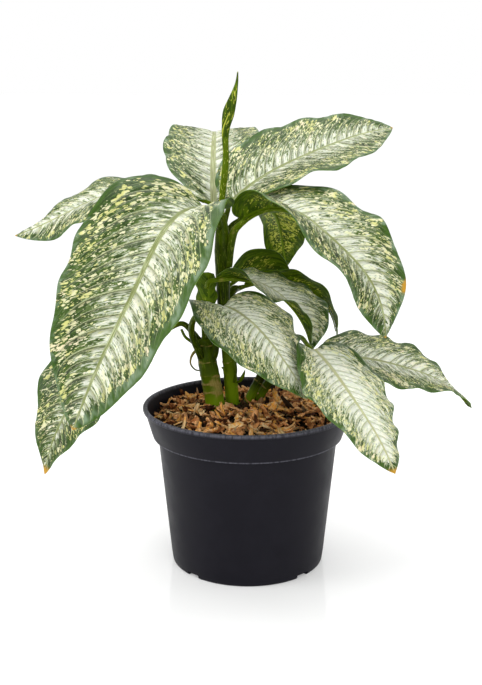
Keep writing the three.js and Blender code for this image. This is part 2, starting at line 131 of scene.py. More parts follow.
def along(keys, t):  # smooth curve through evenly spaced keys, t from 0 to 1
    last = len(keys) - 1
    x = min(max(t, 0), 1) * last
    i = min(int(x), last - 1)
    u = x - i
    before = keys[i - 1] if i > 0 else 2 * keys[0] - keys[1]
    after = keys[i + 2] if i + 2 <= last else 2 * keys[last] - keys[last - 1]
    b, c = keys[i], keys[i + 1]
    bend = 2 * before - 5 * b + 4 * c - after + u * (3 * (b - c) + after - before)
    return b + 0.5 * u * (c - before + u * bend)


def smoothStep(low, high, value):
    x = min(max((value - low) / (high - low), 0), 1)
    return x * x * (3 - 2 * x)


# The photograph's viewing angle.
cameraSetup = {"target": (-6.7, 0, 226), "distance": 1105, "downTilt": 13.4, "lens": 58.6}


def placeCamera(setup):
    tilt = math.radians(setup["downTilt"])
    back = Vector((0, -math.cos(tilt), math.sin(tilt)))
    camera = bpy.data.objects.new("photoCamera", bpy.data.cameras.new("photoCamera"))
    bpy.context.collection.objects.link(camera)
    camera.location = (Vector(setup["target"]) + back * setup["distance"]) * mm
    camera.rotation_euler = (math.pi / 2 - tilt, 0, 0)
    camera.data.lens = setup["lens"]
    camera.data.sensor_width = 36
    bpy.context.scene.camera = camera


placeCamera(cameraSetup)
print("camera placed")

studio = {
    "seenWhite": 1.0,                     # what the camera sees behind the plant
    "roomFront": 1.08, "roomBack": 0.85,  # light from the room, before and behind the plant
    "dimSide": (-0.45, 0.8, 0.4),         # where the room is dimmest
    # name: centre, aim, width, height (metres), power (watts)
    "lamps": {
        "overheadBox": ((-0.1, 0.3, 1.7), (0, 0, 0.3), 1.5, 1.2, 13),
        "leftBox": ((-1.5, -0.5, 1.1), (0, 0, 0.25), 0.8, 1.1, 12),
        "frontBox": ((0.4, -1.7, 0.8), (0.05, 0, 0.25), 1.2, 0.8, 7),
    },
    "floorSize": 60, "floorGlow": 0.2,    # a lit table, so shadows stay pale
    "colours": {"floor": "#f4f4f4"},
}


def lightStudio(setup):
    world = bpy.data.worlds.new("whiteRoom")
    world.use_nodes = True
    tree = world.node_tree
    tree.nodes.clear()
    direction = addNode(tree, "TexCoord")["Generated"]
    facing = addNode(tree, "VectorMath", {
        0: direction, 1: Vector(setup["dimSide"]).normalized(),
    }, operation="DOT_PRODUCT")["Value"]
    level = addNode(tree, "MapRange", {
        0: facing, 1: -0.7, 2: 0.7, 3: setup["roomFront"], 4: setup["roomBack"],
    }, **smooth)[0]
    seen = addNode(tree, "LightPath")["Is Camera Ray"]
    strength = addNode(tree, "Mix", {0: seen, 2: level, 3: setup["seenWhite"]})[0]
    backdrop = addNode(tree, "Background", {"Color": (1, 1, 1, 1), "Strength": strength})[0]
    addNode(tree, "OutputWorld", {"Surface": backdrop})
    bpy.context.scene.world = world
    for name, (centre, aim, width, height, power) in setup["lamps"].items():
        lamp = bpy.data.lights.new(name, "AREA")
        lamp.shape = "RECTANGLE"
        lamp.size, lamp.size_y, lamp.energy = width, height, power
        holder = bpy.data.objects.new(name, lamp)
        holder.location = centre
        holder.rotation_euler = (Vector(aim) - Vector(centre)).to_track_quat("-Z", "Y").to_euler()
        bpy.context.collection.objects.link(holder)
    bpy.context.scene.view_settings.view_transform = "Standard"


def floorFinish(setup):  # white laminate board: pale, and glossy enough to mirror the pot's foot faintly
    finish, tree, shades = newFinish("whiteLaminate", setup)
    grain = addNode(tree, "TexNoise", {"Scale": 900.0, "Detail": 2.0})[0]
    relief = addNode(tree, "Bump", {"Strength": 0.02, "Distance": 0.1 * mm, "Height": grain})[0]
    board = addNode(tree, "BsdfPrincipled", {
        "Base Color": shades["floor"], "Roughness": 0.08, "IOR": 1.5, "Normal": relief,
        "Emission Color": (1, 1, 1, 1), "Emission Strength": setup["floorGlow"],
    })[0]
    addNode(tree, "OutputMaterial", {"Surface": board})
    return finish


lightStudio(studio)
floorShape = bmesh.new()
bmesh.ops.create_grid(floorShape, x_segments=4, y_segments=4, size=studio["floorSize"] / 2)
studioFloor = placePiece("studioFloor", floorShape, [floorFinish(studio)])
print("studio lit")

leafLook = {
    "colours": {
        "deepGreen": "#1e3602", "midGreen": "#395512", "marginGreen": "#38590a", "washGreen": "#67793f",
        # These colours include a painted grey sheen for the margin.
        "paintedSheen": "#7f9379", "cream": "#dbd8ac", "yellow": "#cccb7e", "blush": "#e2d4b2",
        # The panel colour is painted shade, laid over the panels behind the side veins.
        "white": "#e6e8da", "midrib": "#6a753a", "vein": "#b0b88e", "panel": "#747a46",
        "underGreen": "#2e4400", "underLight": "#546c04", "underFleck": "#b8bc48",
        "edge": "#64842a", "tipBrown": "#b98a1e",
    },
    "paintedPanelShade": 0.85,    # how dark the painted shade gets on the panels behind each side vein
    "veinLine": 0.115,     # a side vein's pale line over the spacing of the veins
    "marginBand": 5.0,     # mm of plain green along the margin
    "spots": (3.3, 5.8), "dots": (1.5, 3.0),   # mm between large and small flecks, across and along
    # name: flow map, size in mm across and along the side veins, detail, roughness, drift
    "upperMarks": {
        "patches": ("fleckFlow", (15.6, 26, 1), 2.0, 0.55, 0.0),   # areas with more or fewer flecks
        "flecks": ("fleckFlow", (4.2, 5.4, 1), 2.0, 0.45, 0.8),    # where the plain margin wanders
        "specks": ("fleckFlow", (1.5, 2.2, 1), 2.0, 0.5, 0.5),     # grain in the green
        "tints": ("fleckFlow", (10.92, 10.8, 1), 1.0, 0.55, 0.0),  # yellow flecks or cream ones
        "wash": ("veinFlow", (1.1, 11, 1), 4.0, 0.65, 0.3),        # pale streaks along the side veins
        "broad": ("veinFlow", (5.5, 11, 1), 3.0, 0.6, 0.4),
        "fibres": ("veinFlow", (16, 0.9, 1), 2.0, 0.55, 0.0),      # along the midrib
    },
    "underMarks": {
        "patches": ("fleckFlow", (15.6, 26, 1), 2.0, 0.55, 0.0),
        "flecks": ("fleckFlow", (2.31, 4.32, 1), 2.0, 0.5, 0.5),
        "broad": ("veinFlow", (4.4, 11, 1), 2.0, 0.5, 0.4),
    },
    "rimMarks": {"tint": ("veinFlow", (6, 6, 1), 2.0, 0.55, 0.0)},
}


def fleckSpots(tree, across, length):  # highest at the middle of each fleck, and no two flecks alike
    place = addNode(tree, "Attribute", attribute_name="fleckFlow")["Vector"]
    scaled = addNode(tree, "VectorMath", {0: place, 1: (1 / across, 1 / length, 1)}, **multiply)[0]
    wander = addNode(tree, "TexNoise", {"Vector": scaled, "Scale": 1.1, "Detail": 1.5})[1]
    bent = addNode(tree, "VectorMath", {0: wander, 1: (0.9, 0.9, 0), 2: scaled}, **multiplyAdd)[0]
    cell = addNode(tree, "TexVoronoi", {"Vector": bent, "Scale": 1.0, "Randomness": 1.0})
    size = addNode(tree, "SeparateXYZ", {0: cell[1]})[0]
    size = addNode(tree, "Math", {0: size, 1: size}, **multiply)[0]
    size = addNode(tree, "Math", {0: size, 1: 0.62}, **multiply)[0]
    return addNode(tree, "Math", {0: size, 1: cell[0]}, operation="SUBTRACT")[0]


# Living leaf, waxy on top: a mottled green ground, pale streaks along the side veins, sharp yellow to cream
# flecks, a plain margin, a fibrous midrib and a soft sheen. Dry brown shows at the tip and in age spots.
def leafUpperFinish(look):
    finish, tree, shades = newFinish("waxyLeafUpper", look)
    marks = drawMarks(tree, look["upperMarks"])
    place = addNode(tree, "Attribute", attribute_name="bladePlace")["Vector"]
    tone = addNode(tree, "Attribute", attribute_name="bladeTone")["Vector"]
    age = addNode(tree, "Attribute", attribute_name="leafAge")["Fac"]
    veinCount, outward, marginRoom = addNode(tree, "SeparateXYZ", {0: place})
    pale, creamy, ribNearness = addNode(tree, "SeparateXYZ", {0: tone})

    # inside is 0 on the plain margin, whose edge wanders with the marks, and inner is 1 at the midrib.
    room = addNode(tree, "Math", {0: marks["flecks"], 1: 16.0, 2: -21.0}, **multiplyAdd)[0]
    room = addNode(tree, "Math", {0: marks["patches"], 1: 28.0, 2: room}, **multiplyAdd)[0]
    room = addNode(tree, "Math", {0: marginRoom, 1: room})[0]
    band = look["marginBand"]
    inside = addNode(tree, "MapRange", {0: room, 1: 0.5 * band, 2: 1.2 * band}, **smooth)[0]
    inner = addNode(tree, "MapRange", {0: outward, 1: 0.8, 2: 0.0}, **smooth)[0]

    grain = addNode(tree, "Math", {0: marks["specks"], 1: 0.5}, **multiply)[0]
    mottle = addNode(tree, "Math", {0: marks["broad"], 1: 0.5, 2: grain}, **multiplyAdd)[0]
    mottle = addNode(tree, "MapRange", {0: mottle, 1: 0.43, 2: 0.57}, **smooth)[0]
    ground = addNode(tree, "Mix", {0: mottle, 6: shades["deepGreen"], 7: shades["midGreen"]}, **colours)[2]

    # A grey green wash with whiter streaks in it. Both reach further near the midrib and on pale leaves.
    washReach = addNode(tree, "Math", {0: pale, 1: 0.135}, **multiply)[0]
    washReach = addNode(tree, "Math", {0: inner, 1: 0.155, 2: washReach}, **multiplyAdd)[0]
    streaked = ground
    for shade, broadShare, low, high, strength in (
        ("washGreen", 0.45, 0.56, 0.74, 0.85), ("white", 0.3, 0.675, 0.79, 0.79),
    ):
        streaks = addNode(tree, "Math", {0: marks["wash"], 1: 1 - broadShare, 2: washReach}, **multiplyAdd)[0]
        streaks = addNode(tree, "Math", {0: marks["broad"], 1: broadShare, 2: streaks}, **multiplyAdd)[0]
        streaks = addNode(tree, "MapRange", {0: streaks, 1: low, 2: high, 4: strength}, **smooth)[0]
        streaks = addNode(tree, "Math", {0: streaks, 1: inside}, **multiply)[0]
        streaked = addNode(tree, "Mix", {0: streaks, 6: streaked, 7: shades[shade]}, **colours)[2]

    # Flecks grow with the patches and the leaf's cream, and thin out at the midrib of the greener leaves.
    fleckLift = addNode(tree, "Math", {0: creamy, 1: 0.12}, **multiply)[0]
    fleckLift = addNode(tree, "Math", {0: marks["patches"], 1: 0.7, 2: fleckLift}, **multiplyAdd)[0]
    thinned = addNode(tree, "MapRange", {0: pale, 1: 0.65, 2: 1.1, 3: -0.21, 4: -0.03}, **smooth)[0]
    fleckLift = addNode(tree, "Math", {0: inner, 1: thinned, 2: fleckLift}, **multiplyAdd)[0]
    masks = []
    for size, low, high in ((look["spots"], 0.33, 0.39), (look["dots"], 0.36, 0.46)):
        lifted = addNode(tree, "Math", {0: fleckSpots(tree, *size), 1: fleckLift})[0]
        masks.append(addNode(tree, "MapRange", {0: lifted, 1: low, 2: high, 4: 0.9}, **smooth)[0])
    fleckMask = addNode(tree, "Math", {0: masks[0], 1: masks[1]}, operation="MAXIMUM")[0]
    fleckMask = addNode(tree, "Math", {0: fleckMask, 1: inside}, **multiply)[0]
    creamShare = addNode(tree, "MapRange", {0: marks["tints"], 1: 0.42, 2: 0.56}, **smooth)[0]
    blushShare = addNode(tree, "MapRange", {0: marks["patches"], 1: 0.6, 2: 0.75}, **smooth)[0]
    whiteShare = addNode(tree, "Math", {0: pale, 1: 0.7}, **multiply)[0]
    whiteShare = addNode(tree, "Math", {0: inner, 1: whiteShare}, **multiply)[0]
    fleckTint = shades["yellow"]
    for share, shade in ((creamShare, "cream"), (blushShare, "blush"), (whiteShare, "white")):
        fleckTint = addNode(tree, "Mix", {0: share, 6: fleckTint, 7: shades[shade]}, **colours)[2]
    flecked = addNode(tree, "Mix", {0: fleckMask, 6: streaked, 7: fleckTint}, **colours)[2]

    # The margin: plain green, greener at the very edge, with a painted grey sheen where the patches are pale.
    rimShare = addNode(tree, "MapRange", {0: marginRoom, 1: 5.0, 2: 0.5, 4: 0.6}, **smooth)[0]
    paintedSheen = addNode(tree, "MapRange", {0: marks["patches"], 1: 0.42, 2: 0.62}, **smooth)[0]
    onBlade = addNode(tree, "MapRange", {0: marginRoom, 1: -9.0, 2: -3.0}, **smooth)[0]
    strength = addNode(tree, "MapRange", {0: pale, 1: 0.2, 2: 1.2, 3: 0.4, 4: 0.8}, **smooth)[0]
    for share in (onBlade, strength):
        paintedSheen = addNode(tree, "Math", {0: paintedSheen, 1: share}, **multiply)[0]
    plain = ground
    for share, shade in ((rimShare, "marginGreen"), (paintedSheen, "paintedSheen")):
        plain = addNode(tree, "Mix", {0: share, 6: plain, 7: shades[shade]}, **colours)[2]
    margined = addNode(tree, "Mix", {0: inside, 6: plain, 7: flecked}, **colours)[2]

    # A pale line on each side vein, and painted shade on the panel behind it.
    toVein = addNode(tree, "Math", {0: veinCount, 1: 0.5}, operation="PINGPONG")[0]
    reach = addNode(tree, "MapRange", {0: outward, 1: 1.0, 2: 0.55}, **smooth)[0]
    vein = addNode(tree, "MapRange", {0: toVein, 1: look["veinLine"], 2: 0.0, 4: 0.95}, **smooth)[0]
    vein = addNode(tree, "Math", {0: vein, 1: reach}, **multiply)[0]
    veined = addNode(tree, "Mix", {0: vein, 6: margined, 7: shades["vein"]}, **colours)[2]
    panel = addNode(tree, "Math", {0: veinCount}, operation="FRACT")[0]
    panel = addNode(tree, "MapRange", {0: panel, 1: 0.6, 2: 0.04}, **smooth)[0]
    depth = addNode(tree, "MapRange", {
        0: pale, 1: 0.4, 2: 1.6, 3: look["paintedPanelShade"], 4: 0.35 * look["paintedPanelShade"],
    }, **smooth)[0]
    for share in (reach, depth):
        panel = addNode(tree, "Math", {0: panel, 1: share}, **multiply)[0]
    withPaintedPanelShade = addNode(tree, "Mix", {
        0: panel, 6: veined, 7: shades["panel"],
    }, blend_type="MULTIPLY", **colours)[2]

    fibreShare = addNode(tree, "MapRange", {0: marks["fibres"], 1: 0.45, 2: 0.75}, **smooth)[0]
    ribCream = addNode(tree, "MapRange", {0: pale, 1: 0.6, 2: 1.5, 4: 0.45}, **smooth)[0]
    ribTint = shades["midrib"]
    for share, shade in ((fibreShare, "vein"), (ribCream, "cream")):
        ribTint = addNode(tree, "Mix", {0: share, 6: ribTint, 7: shades[shade]}, **colours)[2]
    onRib = addNode(tree, "MapRange", {0: ribNearness, 1: 0.35, 2: 0.9}, **smooth)[0]
    ribbed = addNode(tree, "Mix", {0: onRib, 6: withPaintedPanelShade, 7: ribTint}, **colours)[2]
    aged = addNode(tree, "Math", {0: marks["flecks"], 1: 0.5, 2: age}, **multiplyAdd)[0]
    aged = addNode(tree, "MapRange", {0: aged, 1: 0.35, 2: 1.15}, **smooth)[0]
    coloured = addNode(tree, "Mix", {0: aged, 6: ribbed, 7: shades["tipBrown"]}, **colours)[2]

    height = addNode(tree, "Math", {0: marks["specks"], 1: 0.4}, **multiply)[0]
    height = addNode(tree, "Math", {0: marks["wash"], 1: 0.6, 2: height}, **multiplyAdd)[0]
    relief = addNode(tree, "Bump", {"Strength": 0.6, "Distance": 0.3 * mm, "Height": height})[0]
    shine = addNode(tree, "MapRange", {0: marks["wash"], 1: 0.3, 2: 0.7, 3: 0.32, 4: 0.44}, **smooth)[0]
    skin = addNode(tree, "BsdfPrincipled", {
        "Base Color": coloured, "Roughness": shine, "IOR": 1.45, "Specular IOR Level": 0.27,
        "Subsurface Weight": 0.15, "Subsurface Radius": (0.6, 1.0, 0.2), "Subsurface Scale": 0.9 * mm,
        "Normal": relief,
    })[0]
    addNode(tree, "OutputMaterial", {"Surface": skin})
    return finish


# The same leaf from below: matt, deeper and yellower, with the flecks as yellow windows.
def leafUnderFinish(look):
    finish, tree, shades = newFinish("leafUnderside", look)
    marks = drawMarks(tree, look["underMarks"])
    place = addNode(tree, "Attribute", attribute_name="bladePlace")["Vector"]
    tone = addNode(tree, "Attribute", attribute_name="bladeTone")["Vector"]
    marginRoom = addNode(tree, "SeparateXYZ", {0: place})[2]
    creamy, ribNearness = addNode(tree, "SeparateXYZ", {0: tone})[1:]
    broad = addNode(tree, "MapRange", {0: marks["broad"], 1: 0.4, 2: 0.7}, **smooth)[0]
    ground = addNode(tree, "Mix", {0: broad, 6: shades["underGreen"], 7: shades["underLight"]}, **colours)[2]
    fleckLift = addNode(tree, "Math", {0: creamy, 1: 0.07}, **multiply)[0]
    fleckLift = addNode(tree, "Math", {0: marks["patches"], 1: 0.5, 2: fleckLift}, **multiplyAdd)[0]
    fleckLift = addNode(tree, "Math", {0: marks["flecks"], 1: fleckLift})[0]
    fleckMask = addNode(tree, "MapRange", {0: fleckLift, 1: 0.9, 2: 0.95}, **smooth)[0]
    band = look["marginBand"]
    inside = addNode(tree, "MapRange", {0: marginRoom, 1: 1.2 * band, 2: 2.6 * band, 4: 0.8}, **smooth)[0]
    fleckMask = addNode(tree, "Math", {0: fleckMask, 1: inside}, **multiply)[0]
    onRib = addNode(tree, "MapRange", {0: ribNearness, 1: 0.3, 2: 0.6}, **smooth)[0]
    coloured = ground
    for share, shade in ((fleckMask, "underFleck"), (onRib, "underLight")):
        coloured = addNode(tree, "Mix", {0: share, 6: coloured, 7: shades[shade]}, **colours)[2]
    relief = addNode(tree, "Bump", {"Strength": 0.4, "Distance": 0.25 * mm, "Height": marks["broad"]})[0]
    skin = addNode(tree, "BsdfPrincipled", {
        "Base Color": coloured, "Roughness": 0.5, "IOR": 1.45, "Specular IOR Level": 0.1,
        "Subsurface Weight": 0.3, "Subsurface Radius": (0.6, 1.0, 0.15), "Subsurface Scale": 0.9 * mm,
        "Normal": relief,
    })[0]
    addNode(tree, "OutputMaterial", {"Surface": skin})
    return finish


def leafRimFinish(look):  # the cut-thin rim of the blade, which lets the most light through
    finish, tree, shades = newFinish("leafRim", look)
    tint = drawMarks(tree, look["rimMarks"])["tint"]
    tint = addNode(tree, "MapRange", {0: tint, 1: 0.35, 2: 0.65}, **smooth)[0]
    coloured = addNode(tree, "Mix", {0: tint, 6: shades["marginGreen"], 7: shades["edge"]}, **colours)[2]
    skin = addNode(tree, "BsdfPrincipled", {
        "Base Color": coloured, "Roughness": 0.45, "IOR": 1.45,
        "Subsurface Weight": 0.3, "Subsurface Radius": (0.6, 1.0, 0.2), "Subsurface Scale": 0.6 * mm,
    })[0]
    addNode(tree, "OutputMaterial", {"Surface": skin})
    return finish


leafFinishes = [leafUpperFinish(leafLook), leafUnderFinish(leafLook), leafRimFinish(leafLook)]

stemLook = {
    "colours": {
        "green": "#2e3f00", "lightGreen": "#7d9a14", "shade": "#1a2500", "fleck": "#a5a94e",
        "tan": "#b5a060", "husk": "#8f7c3c", "dark": "#32260c",
    },
    # name: flow map, size in mm across, across and along the stem, detail, roughness, drift
    "marks": {
        "fibres": ("stemFlow", (0.9, 0.9, 16), 3.0, 0.6, 0.0),
        "flecks": ("stemFlow", (1.3, 1.3, 4), 2.0, 0.5, 0.0),
        "clouds": ("stemFlow", (100 / 7, 100 / 7, 100 / 7), 2.0, 0.5, 0.0),
    },
}


# Smooth green stem skin with lengthwise fibres and pale flecks. The stemTone attribute gives how much of it
# is dry tan husk, how fresh and light the green is, and how much it is flecked.
def stemFinish(look):
    finish, tree, shades = newFinish("greenStemSkin", look)
    marks = drawMarks(tree, look["marks"])
    tone = addNode(tree, "Attribute", attribute_name="stemTone")["Vector"]
    dry, fresh, flecked = addNode(tree, "SeparateXYZ", {0: tone})
    cloudy = addNode(tree, "MapRange", {0: marks["clouds"], 1: 0.35, 2: 0.65}, **smooth)[0]
    lined = addNode(tree, "MapRange", {0: marks["fibres"], 1: 0.5, 2: 0.75, 4: 0.35}, **smooth)[0]
    fleckMask = addNode(tree, "MapRange", {0: marks["flecks"], 1: 0.6, 2: 0.66}, **smooth)[0]
    fleckMask = addNode(tree, "Math", {0: fleckMask, 1: flecked}, **multiply)[0]
    streaky = addNode(tree, "MapRange", {0: marks["fibres"], 1: 0.3, 2: 0.7}, **smooth)[0]
    huskTint = addNode(tree, "Mix", {0: streaky, 6: shades["husk"], 7: shades["tan"]}, **colours)[2]
    husky = addNode(tree, "Math", {0: marks["clouds"], 1: 1.6, 2: -0.8}, **multiplyAdd)[0]
    husky = addNode(tree, "Math", {0: dry, 1: husky})[0]
    husky = addNode(tree, "MapRange", {0: husky, 1: 0.2, 2: 0.6, 4: 0.85}, **smooth)[0]
    darkened = addNode(tree, "MapRange", {0: fresh, 1: -0.05, 2: -0.6}, **smooth)[0]
    coloured = shades["shade"]
    for share, shade in (
        (cloudy, shades["green"]), (fresh, shades["lightGreen"]), (lined, shades["lightGreen"]),
        (fleckMask, shades["fleck"]), (husky, huskTint), (darkened, shades["dark"]),
    ):
        coloured = addNode(tree, "Mix", {0: share, 6: coloured, 7: shade}, **colours)[2]
    relief = addNode(tree, "Bump", {"Strength": 0.35, "Distance": 0.3 * mm, "Height": marks["fibres"]})[0]
    skin = addNode(tree, "BsdfPrincipled", {
        "Base Color": coloured, "Roughness": 0.34, "IOR": 1.45, "Specular IOR Level": 0.06,
        "Subsurface Weight": 0.08, "Subsurface Radius": (0.5, 1.0, 0.2), "Subsurface Scale": 1.5 * mm,
        "Normal": relief,
    })[0]
    addNode(tree, "OutputMaterial", {"Surface": skin})
    return finish


stemSkin = stemFinish(stemLook)
print("leaf and stem finishes ready")

# Keys along each blade from foot to tip. bearing, rise and roll aim the midrib. halfWidth, fold at the
# midrib, curl towards the margin, lobe (how far the foot reaches back) and ruffle (depth, waves and phase)
# are given for the left side and then the right one. tone is how washed with white the blade is, how much
# cream fleck it has and how much paler its left is than its right; on right_arch that difference is painted
# shade on the right half, which is folded up. plainEdge is mm more of plain margin, brownTip the share
# of the blade that is dry, and ageSpot a brown spot's place along and across and its size.
leafShapes = {
    "front_left": {
        "base": (-41, 1, 356), "length": 276, "tone": (0.62, 0.75, 0.33), "plainEdge": (8, 1),
        "bearing": [-123, -119, -132, -138], "rise": [16, -42, -53, -64], "roll": [-7, -3, -11, -18],
        "halfWidth": [[58, 77, 81], [90, 72, 87]], "fold": [[25, 19, 15, -7], [34, 12, 20, 0]],
        "curl": [-3, 4], "lobe": [20, 8], "ruffle": [[1.9, 5.6, -0.44], [2.4, 4.9, 0.24]],
    },
    "far_left": {
        "base": (-42, 29, 364), "length": 203, "tone": (1.0, 0.15),
        "bearing": [171, 174, 179, 188], "rise": [25, -6, -26, -19], "roll": [2, -7, -15, -23],
        "halfWidth": [[41, 49, 51], [41, 48, 49]], "fold": [[10, 12, 8, -18], [9, 13, 15, -10]],
        "curl": [-24, -19], "lobe": [1, 1], "ruffle": [[3.3, 4.3, 0.3], [2.7, 4.3, -0.05]],
    },
    "low_left": {
        "base": (-88, 21, 235), "length": 196, "tone": (0.5, 0.8), "brownTip": 0.07,
        "bearing": [188, 203, 207, 207], "rise": [-8, -42, -58, -79], "roll": [9, -9, -13, -3],
        "halfWidth": [[46, 48, 44], [48, 55, 50]], "fold": [[10, 7, 1, 8], [9, 21, 16, 11]],
        "curl": [-19, -3], "lobe": [4, 4], "ruffle": [[2.6, 5.4, 0.5], [2.8, 4.2, 0.63]],
    },
    "back": {
        "base": (-35, 76, 355), "length": 250, "tone": (1.0, 0.2),
        "bearing": [93, 90, 92, 95], "rise": [48, 25, -3, -35], "roll": [4, 0, 0, 0],
        "halfWidth": [[54, 54, 53], [53, 53, 53]], "fold": [[17, 3, 13, 10], [10, 10, 10, 10]],
        "curl": [-8, -10], "lobe": [1, 1], "ruffle": [[2.3, 5.1, 0.02], [2.2, 5, 0.1]],
    },
    "upper_right": {
        "base": (-14, 45, 362), "length": 189, "tone": (0.8, 0.75), "plainEdge": (2, 1.5),
        "bearing": [18, 17, 18, 25], "rise": [41, 24, 18, 5], "roll": [26, 22, 23, 28],
        "halfWidth": [[64, 59, 64], [58, 58, 59]], "fold": [[17, 9, 7, 10], [18, 16, 5, 3]],
        "curl": [3, -1], "lobe": [10, 7], "ruffle": [[1.9, 4.7, 0.43], [2.5, 3.7, 0.89]],
    },
    "right_arch": {
        # Its left half is paler, so that the right half, folded up at the foot, keeps a painted shade.
        "base": (-4, 19, 345), "length": 221, "tone": (0.65, 0.85, 0.35), "plainEdge": (2, 2),
        "ageSpot": (0.82, 1, 8),
        "bearing": [-21, -43, -35, -49], "rise": [38, -22, -42, -88], "roll": [40, 21, 11, 2],
        "halfWidth": [[40, 54, 64], [47, 56, 66]], "fold": [[18, 6, 26, -3], [83, 46, 21, -4]],
        "curl": [-6, -7], "lobe": [2, 8], "ruffle": [[3.4, 3.9, -0.07], [3.6, 3.4, -0.13]],
    },
    "behind": {
        "base": (-5, 50, 346), "length": 168, "tone": (0.9, 1.9),
        "bearing": [58, 66, 76, 69], "rise": [19, -14, -48, -62], "roll": [6, 9, 4, -17],
        "halfWidth": [[25, 35, 45], [32, 41, 39]], "fold": [[10, 5, 33, -16], [10, 6, 10, 10]],
        "curl": [-4, -5], "lobe": [1, 1], "ruffle": [[3.2, 4.4, 0.08], [2.9, 4.6, 0.16]],
    },
    "inner_back": {
        "base": (-16, 66, 275), "length": 75, "tone": (0.4, 0.8),
        "bearing": [34, 26, 18, 6], "rise": [30, 6, -32, -80], "roll": [0, 0, 6, 14],
        "halfWidth": [[22, 28, 28], [24, 28, 27]], "fold": [[10, 5, 0, 0], [84, 80, 78, 70]],
        "curl": [-8, -12], "lobe": [3, 2], "ruffle": [[1.4, 4.1, 0.3], [0.9, 3.1, 0.3]],
    },
    "mid_right": {
        "base": (-31, 6, 289), "length": 131, "tone": (1.25, 0.9),
        "bearing": [1, -4, -23, -55], "rise": [10, -21, -50, -74], "roll": [7, 11, 20, 46],
        "halfWidth": [[20, 45, 52], [34, 35, 29, 26, 44]],
        "fold": [[11, 2, 4, 34], [61, 34, 14, 12, 62, 96, 112]],
        "curl": [-5, -2], "lobe": [-4, -6], "ruffle": [[1.9, 5.9, -0.22], [1.5, 4.6, 0.45]],
    },
    "mid_back": {
        "base": (-3, 55, 274), "length": 129, "tone": (0.4, 0.7),
        "bearing": [0, -2, -8, -14], "rise": [17, -7, -48, -88], "roll": [4, 6, 10, 20],
        "halfWidth": [[16, 17, 24], [17, 20, 30]], "fold": [[0, -6, -6, 0], [70, 62, 54, 40]],
        "curl": [-14, -12], "lobe": [1, -1], "ruffle": [[2, 4.7, 0.6], [1.7, 4.2, 0.6]],
    },
    "low_front": {
        "base": (-24, -35, 269), "length": 144, "tone": (1.15, 1.0),
        "bearing": [-62, -55, -38, -24], "rise": [7, -17, -45, -56], "roll": [4, 0, -1, 1],
        "halfWidth": [[54, 54, 50], [56, 51, 53]], "fold": [[34, 0, -2, 3], [34, 7, -4, 4]],
        "curl": [-18, -17], "lobe": [18, 22], "ruffle": [[2.6, 4.5, 0.8], [1.2, 5.2, 0.59]],
    },
    "low_right": {
        "base": (73, 4, 209), "length": 166, "tone": (0.95, 0.6), "brownTip": 0.07,
        "bearing": [-6, -3, -1, -3], "rise": [9, -11, -22, -55], "roll": [33, 21, 10, -16],
        "halfWidth": [[45, 46, 42], [41, 42, 40]], "fold": [[16, 7, 15, -3], [10, 11, 5, 11]],
        "curl": [-14, -13], "lobe": [3, 6], "ruffle": [[2.4, 5.6, 0.11], [2.3, 4.9, 0.48]],
    },
    "front_right": {
        "base": (61, -72, 236), "length": 154, "tone": (1.3, 0.9, 0.2), "brownTip": 0.05,
        "bearing": [-57, -65, -60, -57], "rise": [-21, -25, -34, -54], "roll": [-3, -4, -5, 0],
        "halfWidth": [[46, 46, 43], [39, 44, 45]], "fold": [[29, 5, -4, -4], [27, 8, 10, -7]],
        "curl": [-19, -16], "lobe": [10, 13], "ruffle": [[2.4, 4.9, 0.64], [1.8, 4.5, 0.11]],
    },
}

bladeBuild = {
    "step": 1.9,                # mm between mesh rows and columns
    "crowding": (1.3, 1.2),     # how rows crowd to the foot and columns to the midrib
    "thickness": 0.6,           # mm
    "outline": (0.55, 0.85),    # how full the foot is and how drawn out the tip
    "leastHalf": (1.4, 0.25),   # mm, the least half width at the foot and at the tip
    "lobeReach": 0.05,          # where the foot lobes are longest, over the blade's length
    "slices": 64,               # midrib pieces
    "veinShare": 0.05,          # side vein spacing over blade length
    "veinSweep": (0.55, 0.75),  # how far forward a side vein runs over the half width: straight, curving
    "panelDepth": 0.2,          # how far the panels between side veins swell, over their spacing
    "ribHalf": 4.0,             # mm, half the midrib's width at the foot
    "keelRadius": 1.9,          # mm, the rounded rib below, at the foot
    "marginFrill": 0.7,         # mm of small irregular waves at the margin
    "fullLength": 276,          # mm, the longest blade, which the midrib and the flecks are sized for
    "seedStep": 37.3,           # mm between two blades' marks on their flow maps, so that no two look alike
}


bladeMaps = ("veinFlow", "fleckFlow", "bladePlace", "bladeTone")   # what the leaf finishes read


def bladeAxes(leaf, s):  # forward, to the leaf's own left, and out of its upper face
    bearing = math.radians(along(leaf["bearing"], s))
    rise = math.radians(along(leaf["rise"], s))
    roll = math.radians(along(leaf["roll"], s))
    ahead = Vector((math.cos(rise) * math.cos(bearing), math.cos(rise) * math.sin(bearing), math.sin(rise)))
    level = Vector((-math.sin(bearing), math.cos(bearing), 0))
    up = ahead.cross(level)
    return ahead, level * math.cos(roll) + up * math.sin(roll), up * math.cos(roll) - level * math.sin(roll)


def midribPoints(leaf, slices):
    points = [Vector(leaf["base"])]
    for i in range(slices):
        heading = bladeAxes(leaf, i / slices)[0] + bladeAxes(leaf, (i + 1) / slices)[0]
        points.append(points[-1] + heading * (0.5 * leaf["length"] / slices))
    return points


def bladeOutline(s, shape):  # half width over the widest: round at the foot, drawn out to the tip
    full, taper = shape
    widest = full / (full + taper)
    return s ** full * (1 - s) ** taper / (widest ** full * (1 - widest) ** taper)


